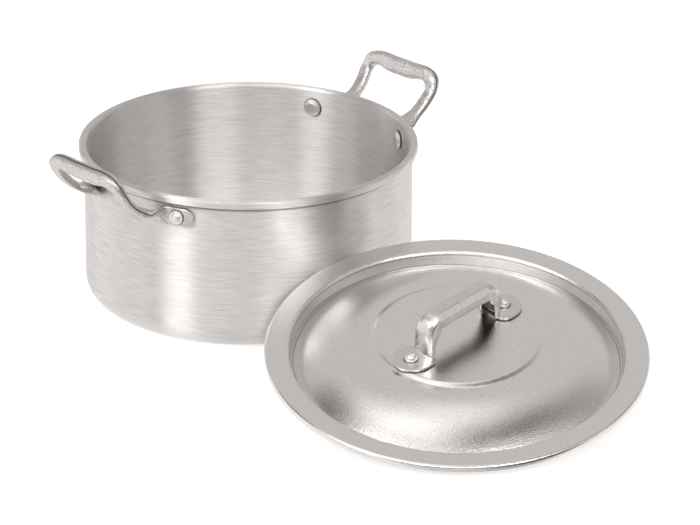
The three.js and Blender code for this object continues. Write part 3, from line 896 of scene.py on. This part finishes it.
def loop_stations(size, pot):
    """Stations of half a loop handle on +X, from the middle of the grip to the tip of a pad."""
    outer = pot.inner_radius + pot.wall
    pad = outer + size.pad_gap + size.pad_thickness / 2
    level = pot.height - size.rivet_drop
    ends = (Vector((pad, level)), Vector((pad + size.swell_reach, level + size.swell_rise)),
            Vector((outer + size.grip_reach, pot.height + size.grip_rise)))
    fine = [ends[0] * (1 - t) ** 2 + ends[1] * 2 * t * (1 - t) + ends[2] * t ** 2
            for t in (step / 400 for step in range(401))]
    runs = [0.0]
    for before, after in zip(fine, fine[1:]):
        runs.append(runs[-1] + (after - before).length)
    reach = runs[-1]

    def on_loop(y, below, width, depth):
        wanted = reach - below
        spot = min(max(sum(1 for run in runs if run < wanted), 1), len(fine) - 1)
        weight = (wanted - runs[spot - 1]) / (runs[spot] - runs[spot - 1])
        place = fine[spot - 1].lerp(fine[spot], weight)
        along = (fine[spot] - fine[spot - 1]).normalized()
        return Vector((place.x, y, place.y)), Vector((along.y, 0, -along.x)), Vector((width, depth, 0))

    def on_pad(along, width, depth):
        angle = size.rivet_angle + along / outer
        out = Vector((math.cos(angle), math.sin(angle), 0))
        return out * pad + Vector((0, 0, level)), out, Vector((width, depth, 0))

    top = (size.grip_length - size.leg_width) / 2
    corner = size.grip_corner
    cut = corner * math.sqrt(0.5)
    wide = size.grip_width + size.grip_belly
    tip = arc(size.pad_tip - size.pad_height / 2, 0, size.pad_height / 2, size.pad_height, 90, 4, 8)
    return [
        on_loop(0, size.grip_belly / 2, wide, size.grip_depth),
        on_loop(size.grip_shoulder / 2, size.grip_belly / 2, wide, size.grip_depth),
        on_loop(top - corner, 0, size.grip_width, size.grip_depth),
        on_loop(top - corner + cut, corner - cut, size.grip_width, size.grip_depth),
        on_loop(top, corner, size.leg_width, size.leg_depth),
        on_loop((top + size.leg_waist) / 2, (corner + size.waist_drop) / 2, size.leg_width, size.leg_depth),
        on_loop(size.leg_waist, size.waist_drop, size.leg_width, size.leg_depth),
        on_loop(size.leg_waist + size.root_flare, reach - size.root_reach, size.root_width, size.leg_depth),
        on_pad(-size.pad_root, size.pad_height, size.pad_thickness),
        on_pad(0, size.pad_height, size.pad_thickness),
        *(on_pad(along, width, size.pad_thickness) for along, width in tip),
    ]


# Quarters of a loop handle's section, as shares of its half width and half depth from the mould seam on
LOWER_QUARTER = ((0.995, 0.10), (0.985, 0.32), (0.96, 0.58), (0.905, 0.80), (0.79, 0.93), (0.58, 0.985),
                 (0.28, 1.0))
UPPER_QUARTER = ((0.995, 0.10), (0.975, 0.32), (0.93, 0.58), (0.845, 0.79), (0.70, 0.92), (0.48, 0.98),
                 (0.22, 1.0))


def loop_section(size):
    """Outline of the bar from the ridge on its hole's side round to the seam on its outer side and back."""
    lower = [(1.0, 0.0), *LOWER_QUARTER, (0.0, 1.0)]
    lower += [(-side, lift) for side, lift in LOWER_QUARTER[::-1]]
    upper = [(-1.0 + size.seam_depth, 0.0), *((-side, -lift) for side, lift in UPPER_QUARTER), (0.0, -1.0)]
    upper += [(side, -lift) for side, lift in UPPER_QUARTER[::-1]]
    return lower + upper, len(lower)


def loop_rings(size, pot):
    """Rings of points along a whole loop handle on +X, kept off the wall, and the painted shade of each
    point.
    """
    half = loop_stations(size, pot)
    flip = Matrix.Scale(-1, 3, (0, 1, 0))
    whole = [(flip @ place, flip @ out, wide) for place, out, wide in half[:0:-1]] + half
    route, facing, sizes = (smooth_row([station[part] * scale for station in whole])
                            for part, scale in enumerate((1000, 1, 1000)))
    section, seam = loop_section(size)
    seat = pot.inner_radius + pot.wall + size.pad_gap
    steps = (len(whole) - 1) * size.steps
    nudge = 1e-4
    rings, shades = [], []
    for step in range(steps + 1):
        share = step / steps
        place = route(share) / 1000
        along = (route(min(share + nudge, 1)) - route(max(share - nudge, 0))).normalized()
        wide = sizes(share) / 1000
        across = along.cross(facing(share)).normalized()
        out = across.cross(along).normalized()
        ring = []
        for spot, (side, lift) in enumerate(section):
            point = place + across * side * wide.x / 2 + out * lift * wide.y / 2
            away = math.hypot(point.x, point.y)
            if away < seat and point.z < pot.height:
                point = Vector((point.x * seat / away, point.y * seat / away, point.z))
            # Painted shade next to the wall, fading outward over its reach
            painted_shade = 1 - (away - seat) / size.contact_shade_reach if point.z < pot.height else 0
            # Painted shade along the seam groove, left off the pads
            seam_shade = size.seam_shade_spread - abs(spot - seam) if away > seat + size.pad_thickness else 0
            shades.append(max(held(seam_shade), held(painted_shade) * size.contact_shade_level))
            ring.append(point)
        rings.append(ring)
    return rings, shades


class CASSEROLE_OT_loop_handles(bpy.types.Operator):
    """Build the two cast loop handles."""

    bl_idname = "casserole.loop_handles"
    bl_label = "Loop handles"

    def execute(self, context):
        scene = context.scene
        finish = scene.casserole_finish
        loop, pot, rivet = scene.casserole_loop, scene.casserole_pot, scene.casserole_rivet
        material = cast_metal("cast_aluminium_loop", finish, finish.cast, 650.0, 0.9, (0.3, 0.42),
                              lambda tree: wall_shade_ring(tree, loop, pot, rivet.collar))
        rings, shades = loop_rings(loop, pot)
        for name, angle in (("right", 0), ("left", math.pi)):
            spin = Matrix.Rotation(angle, 3, "Z")
            vertices, faces = lofted([[spin @ point for point in ring] for ring in rings])
            piece = mesh_object(f"loop_handle_{name}_cast", vertices, faces, material)
            shaded(piece, shades)
            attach(piece, "pot")
            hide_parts(f"loop_handle_{name}")
        return {"FINISHED"}


class CASSEROLE_OT_handle_rivets(bpy.types.Operator):
    """Build the four rivets of the loop handles."""

    bl_idname = "casserole.handle_rivets"
    bl_label = "Handle rivets"

    def execute(self, context):
        scene = context.scene
        size, pot, loop = scene.casserole_rivet, scene.casserole_pot, scene.casserole_loop
        inner = math.sqrt(pot.inner_radius ** 2 - size.inner_head ** 2) - 2 * size.gap
        outer = pot.inner_radius + pot.wall + loop.pad_gap + loop.pad_thickness + size.gap
        top = outer + size.collar_height
        face = inner - size.inner_height
        profile = [(0.0, face), (size.inner_flat * 0.6, face)]
        slope = -34
        flat, edge = size.flat_round, size.edge_round
        profile += bend(size.inner_flat - flat, face + flat, flat, -90, slope, 5)
        profile += bend(size.inner_head - edge, inner - size.inner_edge, edge, slope, 0, 4)
        profile += [(size.inner_head, inner), (size.shank, inner)]
        profile += [(size.shank, outer), (size.collar, outer)]
        soft = size.collar_round
        profile += bend(size.collar - soft, top - soft, soft, 0, 90, 5)
        profile += [(size.head + size.head_ledge, top)]
        profile += arc(0, top, size.head, size.head_height, 4, 90, 14)
        tree = rivet_tree("Wall rivets", [("Height", "Float", 0.1), ("Angle", "Float", 0.4)], wall_spread)
        piece = profile_object("handle_rivets", guarded(profile, FINE_GUARD))
        settle(piece, tree, {"Segments": size.segments, "Material": rivet_metal(scene.casserole_finish),
                             "Height": pot.height - loop.rivet_drop, "Angle": loop.rivet_angle})
        rim = inner - size.inner_edge
        # Painted shade in the rivets' creases: at the inner head's rim, the collar's foot and the dome's
        # foot
        creased(piece, ((size.inner_head, rim), (size.collar, outer), (size.head, top)))
        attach(piece, "pot")
        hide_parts(*(f"handle_rivet_{side}_{mark}" for side in ("right", "left") for mark in "ab"))
        return {"FINISHED"}


class CASSEROLE_OT_lid_cover(bpy.types.Operator):
    """Build the spun lid."""

    bl_idname = "casserole.lid_cover"
    bl_label = "Lid cover"

    def execute(self, context):
        size = context.scene.casserole_lid
        moat = size.plug_radius - size.step_draft
        top = size.field_height - size.field_step
        shoulder = size.field_radius - size.field_slope

        def dome(radius):
            share = max((radius - size.field_radius) / (moat - size.field_radius), 0)
            return top - (top + size.step_depth) * share ** size.dome_power

        level = size.field_height
        face = [(0.0, level), *straight((0, level), (shoulder, level), 10)]
        for step in range(1, 13):
            share = step / 12
            ease = share * share * (3 - 2 * share)
            face.append((shoulder + size.field_slope * share, level - size.field_step * ease))
        valley = size.bend * 0.55
        end = moat - valley
        for step in range(1, 41):
            radius = size.field_radius + (end - size.field_radius) * step / 40
            face.append((radius, dome(radius)))
        steep = 90 + math.degrees(size.step_turn)
        start = bend(size.plug_radius + size.bend, -size.bend, size.bend, steep, 90, 12)
        low = Vector((moat, -size.step_depth))
        rise = low + (Vector(start[0]) - low).normalized() * valley
        before = Vector(face[-1])
        for step in range(1, 9):
            share = step / 8
            rest = 1 - share
            face.append(tuple(before * rest ** 2 + low * 2 * share * rest + rise * share ** 2))
        face += start
        face += straight(face[-1], (size.radius - size.bend, 0), 4)
        face += bend(size.radius - size.bend, -size.bend, size.bend, 90, 0, 14)[1:]
        hem = size.sheet / 2
        face.append((size.radius, -size.skirt + hem))
        face = guarded(face)
        under = offset(face, size.sheet)
        edge = bend(size.radius - hem, -size.skirt + hem, hem, 0, -180, 10)
        profile = face + edge[1:-1] + under[::-1]
        profile[-1] = (0.0, profile[-1][1])
        piece = profile_object("lid_cover_spun", profile)
        settle(piece, turned_tree(),
               {"Segments": size.segments, "Material": spun_lid(context.scene.casserole_finish, size)},
               lid_matrix(size))
        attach(piece, "lid")
        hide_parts("lid_cover")
        return {"FINISHED"}


def joined(piece, other, operation):
    """A piece with another one added to it or cut from it, which is then gone."""
    modifier = piece.modifiers.new("Join", "BOOLEAN")
    modifier.operation = operation
    modifier.solver = "EXACT"
    modifier.use_self = True
    modifier.object = other
    bpy.context.view_layer.update()
    graph = bpy.context.evaluated_depsgraph_get()
    mesh = bpy.data.meshes.new_from_object(piece.evaluated_get(graph), depsgraph=graph)
    piece.modifiers.remove(modifier)
    piece.data = mesh
    bpy.data.objects.remove(other)
    if not mesh.polygons:
        raise RuntimeError(f"nothing is left of {piece.name}")


def foot_point(size, hand, angle, share, height):
    """A point of a foot plate's outline: oval outward, squarer inward where it carries the leg."""
    power = 2.0 if math.cos(angle) > 0 else 3.2
    reach = abs(math.cos(angle)) ** power + abs(math.sin(angle)) ** power
    along = share * math.cos(angle) * reach ** (-1 / power)
    along *= size.foot_length / 2 - (size.leg_taper if math.cos(angle) < 0 else 0)
    side = share * math.sin(angle) * reach ** (-1 / power) * size.foot_width / 2
    return Vector((hand * (size.foot_reach - size.foot_length / 2 + along), side, height))


class CASSEROLE_OT_lid_handle(bpy.types.Operator):
    """Build the bridge handle of the lid."""

    bl_idname = "casserole.lid_handle"
    bl_label = "Lid handle"

    def execute(self, context):
        scene = context.scene
        size, lid = scene.casserole_bridge, scene.casserole_lid
        half, outer = size.width / 2, size.depth / 2
        flat, edge = half - size.bevel, outer - size.bevel
        slip = size.sheet * (math.sqrt(2) - 1)
        lip = size.lip_round
        inner = [(flat - slip, outer - size.sheet, lip), (half - size.sheet, edge - slip, lip),
                 (half - size.sheet, -outer, lip)]
        right = [(half, -outer, lip), (half, edge, size.edge_round), (flat, outer, size.edge_round)]
        crisp_bar = softened(right + [(-y, out, cut) for y, out, cut in right[::-1] + inner[::-1]] + inner)
        corner_points = len(crisp_bar) // 12
        low = edge - size.edge_round
        thumb = []
        for step in range(2 * corner_points):
            angle = math.radians(80) * step / (2 * corner_points - 1)
            thumb.append((half * math.cos(angle) ** size.leg_fullness,
                          low + (outer - low) * math.sin(angle) ** size.leg_fullness))
        round_leg = crisp_bar[:corner_points] + thumb + [(-y, out) for y, out in thumb[::-1]]
        round_leg += crisp_bar[5 * corner_points:]
        seat = lid.field_height + size.gap
        plate = seat + size.foot_thickness
        leg = (size.span - size.depth) / 2
        top = plate + size.rise - outer
        start = top - size.corner
        sink, bend_steps = 0.0004, 16
        line = []
        for step in range(7):
            lift = size.fillet * step / 6
            grow = size.fillet - math.sqrt(max(size.fillet ** 2 - (size.fillet - lift) ** 2, 0))
            line.append((leg, plate - sink + lift, grow, 0))
        foot = plate + size.fillet
        line += [(leg, foot + (start - foot) * step / 6, 0, 0) for step in range(1, 6)]
        curve = bend(leg - size.corner, start, size.corner, 0, 90, bend_steps)
        line += [(x, z, 0, spot / bend_steps) for spot, (x, z) in enumerate(curve)]
        line += [((leg - size.corner) * (1 - step / 6), top, 0, 1) for step in range(1, 6)]
        line += [(0, top, 0, 1)] + [(-x, z, grow, crisp) for x, z, grow, crisp in line[::-1]]
        rings = []
        for spot, (x, z, grow, crisp) in enumerate(line):
            before, after = line[max(spot - 1, 0)], line[min(spot + 1, len(line) - 1)]
            along = Vector((after[0] - before[0], after[1] - before[1])).normalized()
            thick = 1 - held((start - z) / (start - seat))
            thin = size.leg_taper * (1 - thick ** 4)
            ring = []
            for (y, out), (crisp_y, crisp_out) in zip(round_leg, crisp_bar):
                y += (crisp_y - y) * crisp + y * size.leg_spread * (1 - crisp)
                out += (crisp_out - out) * crisp
                deep = out + grow * held(out / outer * 3) + thin * max(edge - out, 0) / (edge + outer)
                ring.append(Vector((x + deep * along.y, y, z - deep * along.x)))
            rings.append(ring)
        finish = scene.casserole_finish
        material = cast_metal("cast_aluminium_bridge", finish, finish.pressed, 300.0, 0.12, (0.24, 0.3),
                              lambda tree: bridge_shade_ring(tree, size))
        piece = mesh_object("lid_handle_bridge", *lofted(rings), material)
        brim, brim_share, points = 0.0006, 0.04, 96
        for hand in (-1, 1):
            rows = [(0.9, seat), (0.985, seat), (1.0, seat + size.gap), (1.0, plate - brim)]
            for turned in range(15, 91, 15):
                angle = math.radians(turned)
                rows.append((1 - brim_share * (1 - math.cos(angle)), plate - brim + brim * math.sin(angle)))
            rows += [(0.8, plate)]
            oval = [[foot_point(size, hand, step / points * TAU, share, z) for step in range(points)]
                    for share, z in rows]
            joined(piece, mesh_object("foot_plate", *lofted(oval), material), "UNION")
        notch = half - size.sheet
        for hand in (-1, 1):
            ends = [hand * (leg + outer - size.sheet), hand * (leg - 2 * outer)]
            base = [(ends[0], -notch), (ends[0], notch), (ends[1], notch), (ends[1], -notch)]
            box = [[Vector((x, y, z)) for x, y in base]
                   for z in (seat - size.gap / 2, plate + size.gap / 2)]
            joined(piece, mesh_object("foot_notch", *lofted(box), material), "DIFFERENCE")

        # Painted shade: the inside of the pressed channel and the lower edges of the foot plates are
        # darkened as if shaded
        slack, plate_shade = 2e-5, 0.85

        def hidden(point):
            """The painted shade at a point: one on the inside of the channel, a little less under the
            plates.
            """
            x, y, z = abs(point.x), abs(point.y), point.z
            aside, above = x - leg + size.corner, z - start
            if above < 0:
                out, crisp = x - leg, 0
            elif aside < 0:
                out, crisp = z - top, 1
            else:
                out = math.hypot(aside, above) - size.corner
                crisp = math.atan2(above, aside) / (math.pi / 2)
            y /= 1 + size.leg_spread * (1 - crisp)
            if z < seat + size.gap * 1.5 and x > leg - 2 * outer:
                return plate_shade
            inside = y < half - size.sheet + slack and out < outer - size.sheet + slack
            below_bevel = y + out < half + edge - size.sheet * math.sqrt(2) * crisp + slack
            return float(inside and below_bevel)

        shaded(piece, [hidden(vertex.co) for vertex in piece.data.vertices])
        layer = piece.data.attributes.new("own_place", "FLOAT_VECTOR", "POINT")
        layer.data.foreach_set("vector", [part for vertex in piece.data.vertices for part in vertex.co])
        piece.data.transform(lid_matrix(lid))
        face_out(piece)
        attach(piece, "lid")
        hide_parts("lid_handle")
        return {"FINISHED"}


class CASSEROLE_OT_lid_rivets(bpy.types.Operator):
    """Build the two rivets of the lid handle."""

    bl_idname = "casserole.lid_rivets"
    bl_label = "Lid rivets"

    def execute(self, context):
        scene = context.scene
        size, lid = scene.casserole_bridge, scene.casserole_lid
        low = lid.field_height - lid.sheet - size.gap
        high = lid.field_height + size.gap + size.foot_thickness + size.gap
        top = high + size.collar_height
        face = low - size.tail_height
        profile = [(0.0, face)]
        soft, tail_soft = size.collar_round, size.tail_round
        profile += bend(size.tail - tail_soft, face + tail_soft, tail_soft, -90, 0, 6)
        profile += [(size.tail, low), (size.shank, low), (size.shank, high), (size.collar, high)]
        profile += bend(size.collar - soft, top - soft, soft, 0, 90, 5)
        profile += [(size.head + size.head_ledge, top)]
        profile += arc(0, top, size.head, size.head_height, 4, 90, 14)
        tree = rivet_tree("Lid rivets", [("Reach", "Float", 0.05)], lid_spread)
        piece = profile_object("lid_rivets", guarded(profile, FINE_GUARD))
        settle(piece, tree, {"Segments": scene.casserole_rivet.segments, "Reach": size.rivet_reach,
                             "Material": rivet_metal(scene.casserole_finish)}, lid_matrix(lid))
        # Painted shade in the rivets' creases: at the head under the lid, the collar's foot and the dome's
        # foot
        creased(piece, ((size.tail, low), (size.collar, high), (size.head, top)))
        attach(piece, "lid")
        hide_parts("lid_rivet_a", "lid_rivet_b")
        return {"FINISHED"}


def direction(settings, turned):
    """Level unit direction at a turn from the camera's side, to the right."""
    bearing = settings.heading + math.pi + math.radians(turned)
    return Vector((math.cos(bearing), math.sin(bearing), 0))


# The studio without its panels: degrees over the horizon where its floor ends, and the light of both
FLOOR_EDGE = -2
WALL_LEVEL, FLOOR_LEVEL = (0.6, 0.6, 0.6), (1, 1, 1)

# Studio panels: turn from the camera's side, half width, soft sides, foot and top over the horizon, level
EDGE_SOFT = 3  # degrees over which a foot or a top fades
PANELS = (
    ("front floor", -26, 44, 8, -80, -2, 0.68),
    ("right floor", 44, 24, 8, -40, -2, 0.06),
    ("right low floor", 44, 24, 8, -80, -40, 0.5),
    ("left wall", -95, 33, 10, -2, 20, 1.05),
    ("right wall", 92, 14, 8, -2, 20, 0.75),
    ("front foot", -13, 54, 10, -2, 25, 0.3),
    ("right foot", 58, 11, 8, -2, 20, 0.05),
    ("left strip foot", -50, 8, 6, -80, 25, 1.1),
    ("front card", -13, 56, 10, 25, 46, 3.1),
    ("left strip", -51, 9, 6, 25, 46, 5.4),
    ("right strip", 27, 14, 6, 25, 46, 5.0),
    ("middle gap", -1, 4, 5, 25, 46, 2.4),
    ("right side", 68, 20, 8, 20, 45, 0.8),
    ("left side", -100, 12, 8, 20, 45, 0.15),
    ("right back", 108, 14, 10, 20, 45, 0.38),
    ("left brow", -36, 36, 10, 46, 56, 0.52),
    ("right brow", 34, 34, 10, 46, 55, 0.95),
    ("left ear", -92, 20, 8, 45, 55, 0.12),
    ("right ear", 96, 20, 8, 45, 55, 0.26),
    ("front hood", 40, 58, 10, 55, 67, 0.12),
    ("right hood", 60, 36, 14, 67, 80, 0.45),
    ("left hood", -38, 37, 10, 56, 80, 1.1),
    ("left back hood", -122, 24, 10, 67, 80, 0.32),
)


def eased(tree, value, low, high, start=0.0, end=1.0):
    """A value moved from one range to another with soft ends."""
    return add(tree, "ShaderNodeMapRange", {"Value": value, "From Min": low, "From Max": high,
                                            "To Min": start, "To Max": end},
               interpolation_type="SMOOTHSTEP").outputs[0]


def near(tree, way, aim, half, soft):
    """One within half an angle of a direction, falling to nothing over a soft edge."""
    close = vector(tree, "DOT_PRODUCT", way, aim, "Value")
    wide, narrow = math.radians(half + soft), math.radians(max(half - soft, 0))
    return eased(tree, close, math.cos(wide), math.cos(narrow))


def below(tree, height, top):
    """One under a height over the horizon, falling to nothing over a soft edge."""
    low, high = math.radians(top - EDGE_SOFT), math.radians(top + EDGE_SOFT)
    return eased(tree, height, math.sin(low), math.sin(high), 1.0, 0.0)


def studio_world(context):
    """White for the camera, and soft studio panels round the object for everything else."""
    settings = context.scene.casserole_stage
    world = bpy.data.worlds.new("Studio")
    context.scene.world = world
    world.use_nodes = True
    world.cycles.sampling_method = "NONE"
    tree = world.node_tree
    tree.nodes.clear()
    way = add(tree, "ShaderNodeTexCoord").outputs["Generated"]
    parts = split(tree, way)
    height = parts["Z"]
    level_way = vector(tree, "NORMALIZE", packed(tree, X=parts["X"], Y=parts["Y"]))
    light = mixed(tree, below(tree, height, FLOOR_EDGE), WALL_LEVEL, FLOOR_LEVEL)
    for _, turned, half, soft, foot, top, level in PANELS:
        between = maths(tree, "SUBTRACT", below(tree, height, top), below(tree, height, foot))
        beside = near(tree, level_way, direction(settings, turned), half, soft)
        light = mixed(tree, maths(tree, "MULTIPLY", beside, between), light, (level, level, level))
    warm = add(tree, "ShaderNodeMix", data_type="RGBA", blend_type="MULTIPLY")
    warm.inputs["Factor"].default_value = 1.0
    warm.inputs[7].default_value = (*settings.warmth, 1)
    tree.links.new(light, warm.inputs[6])
    light = warm.outputs[2]
    seen = add(tree, "ShaderNodeLightPath").outputs["Is Camera Ray"]
    shown = mixed(tree, seen, light, (1, 1, 1))
    sky = add(tree, "ShaderNodeBackground", {"Color": shown, "Strength": settings.sky_level})
    out = add(tree, "ShaderNodeOutputWorld")
    tree.links.new(sky.outputs[0], out.inputs[0])


def overhead_lamp(context, settings):
    """A long soft box over the object, a little to the left and front, its left end drawn forward."""
    lamp = bpy.data.lights.new("soft_box", "AREA")
    lamp.shape = "RECTANGLE"
    lamp.size = settings.box_length
    lamp.size_y = settings.box_width
    lamp.energy = settings.box_level * math.pi * lamp.size * lamp.size_y
    lamp.color = settings.warmth
    front = direction(settings, 0)
    left = direction(settings, -90)
    up = Vector((0, 0, 1))
    upward = (left * math.tan(settings.box_left) + front * math.tan(settings.box_front) + up).normalized()
    along = left * math.cos(settings.box_turn) + front * math.sin(settings.box_turn)
    along = (along - upward * along.dot(upward)).normalized()
    matrix = Matrix((along, upward.cross(along), upward)).transposed().to_4x4()
    matrix.translation = Vector(settings.aim) + upward * settings.box_distance
    made = bpy.data.objects.new("soft_box", lamp)
    made.matrix_world = matrix
    context.scene.collection.objects.link(made)


class CASSEROLE_OT_stage(bpy.types.Operator):
    """Set the floor, the light and the camera."""

    bl_idname = "casserole.stage"
    bl_label = "Stage"

    def execute(self, context):
        settings = context.scene.casserole_stage
        context.scene.view_settings.view_transform = "Standard"
        studio_world(context)
        white = bpy.data.materials.new("pale_floor")
        white.use_nodes = True
        tree = white.node_tree
        tree.nodes.clear()
        diffuse = add(tree, "ShaderNodeBsdfDiffuse", {"Color": (*[settings.floor_tone] * 3, 1)})
        seen = add(tree, "ShaderNodeLightPath").outputs["Is Camera Ray"]
        bright = maths(tree, "MULTIPLY", seen, settings.floor_glow)
        glow = add(tree, "ShaderNodeEmission", {"Strength": bright})
        both = add(tree, "ShaderNodeAddShader", {0: diffuse.outputs[0], 1: glow.outputs[0]})
        out = add(tree, "ShaderNodeOutputMaterial")
        tree.links.new(both.outputs[0], out.inputs[0])
        reach = settings.floor / 2
        mesh = bpy.data.meshes.new("floor")
        corners = [(-reach, -reach, 0), (reach, -reach, 0), (reach, reach, 0), (-reach, reach, 0)]
        mesh.from_pydata(corners, [], [(0, 1, 2, 3)])
        mesh.materials.append(white)
        floor = bpy.data.objects.new("floor", mesh)
        context.scene.collection.objects.link(floor)
        floor.visible_glossy = False
        overhead_lamp(context, settings)
        data = bpy.data.cameras.new("camera")
        data.sensor_fit = "HORIZONTAL"
        data.sensor_width = 36
        data.lens = settings.lens
        data.clip_end = 100
        camera = bpy.data.objects.new("camera", data)
        ahead = Vector((math.cos(settings.heading) * math.cos(settings.pitch),
                        math.sin(settings.heading) * math.cos(settings.pitch), -math.sin(settings.pitch)))
        right = ahead.cross(Vector((0, 0, 1))).normalized()
        up = right.cross(ahead)
        across = right * math.cos(settings.roll) + up * math.sin(settings.roll)
        upright = up * math.cos(settings.roll) - right * math.sin(settings.roll)
        matrix = Matrix((across, upright, -ahead)).transposed().to_4x4()
        matrix.translation = Vector(settings.place)
        camera.matrix_world = matrix
        context.scene.collection.objects.link(camera)
        context.scene.camera = camera
        return {"FINISHED"}


class CASSEROLE_PT_panel(bpy.types.Panel):
    """Sidebar list of the pieces and their sizes."""

    bl_idname = "CASSEROLE_PT_panel"
    bl_label = "Casserole pot"
    bl_space_type = "VIEW_3D"
    bl_region_type = "UI"
    bl_category = "Casserole"

    def draw(self, context):
        for maker in MAKERS:
            self.layout.operator(maker.bl_idname)
        for name, kind in SETTINGS:
            box = self.layout.box()
            box.label(text=kind.__doc__)
            for key in kind.__annotations__:
                box.prop(getattr(context.scene, name), key)


SETTINGS = (
    ("casserole_pot", PotSizes),
    ("casserole_loop", LoopSizes),
    ("casserole_rivet", WallRivetSizes),
    ("casserole_lid", LidSizes),
    ("casserole_bridge", BridgeSizes),
    ("casserole_finish", FinishSettings),
    ("casserole_stage", StageSettings),
)
MAKERS = (
    CASSEROLE_OT_pot_body,
    CASSEROLE_OT_loop_handles,
    CASSEROLE_OT_handle_rivets,
    CASSEROLE_OT_lid_cover,
    CASSEROLE_OT_lid_handle,
    CASSEROLE_OT_lid_rivets,
    CASSEROLE_OT_stage,
)


def register():
    """Make the settings, the operators and the panel known."""
    for name, kind in SETTINGS:
        bpy.utils.register_class(kind)
        setattr(bpy.types.Scene, name, PointerProperty(type=kind))
    for kind in (*MAKERS, CASSEROLE_PT_panel):
        bpy.utils.register_class(kind)


def unregister():
    """Take them away again."""
    for kind in (CASSEROLE_PT_panel, *reversed(MAKERS)):
        bpy.utils.unregister_class(kind)
    for name, kind in reversed(SETTINGS):
        delattr(bpy.types.Scene, name)
        bpy.utils.unregister_class(kind)


def main():
    """Build every piece and the stage."""
    register()
    bpy.ops.casserole.pot_body()
    bpy.ops.casserole.loop_handles()
    bpy.ops.casserole.handle_rivets()
    bpy.ops.casserole.lid_cover()
    bpy.ops.casserole.lid_handle()
    bpy.ops.casserole.lid_rivets()
    bpy.ops.casserole.stage()


if __name__ == "__main__":
    main()
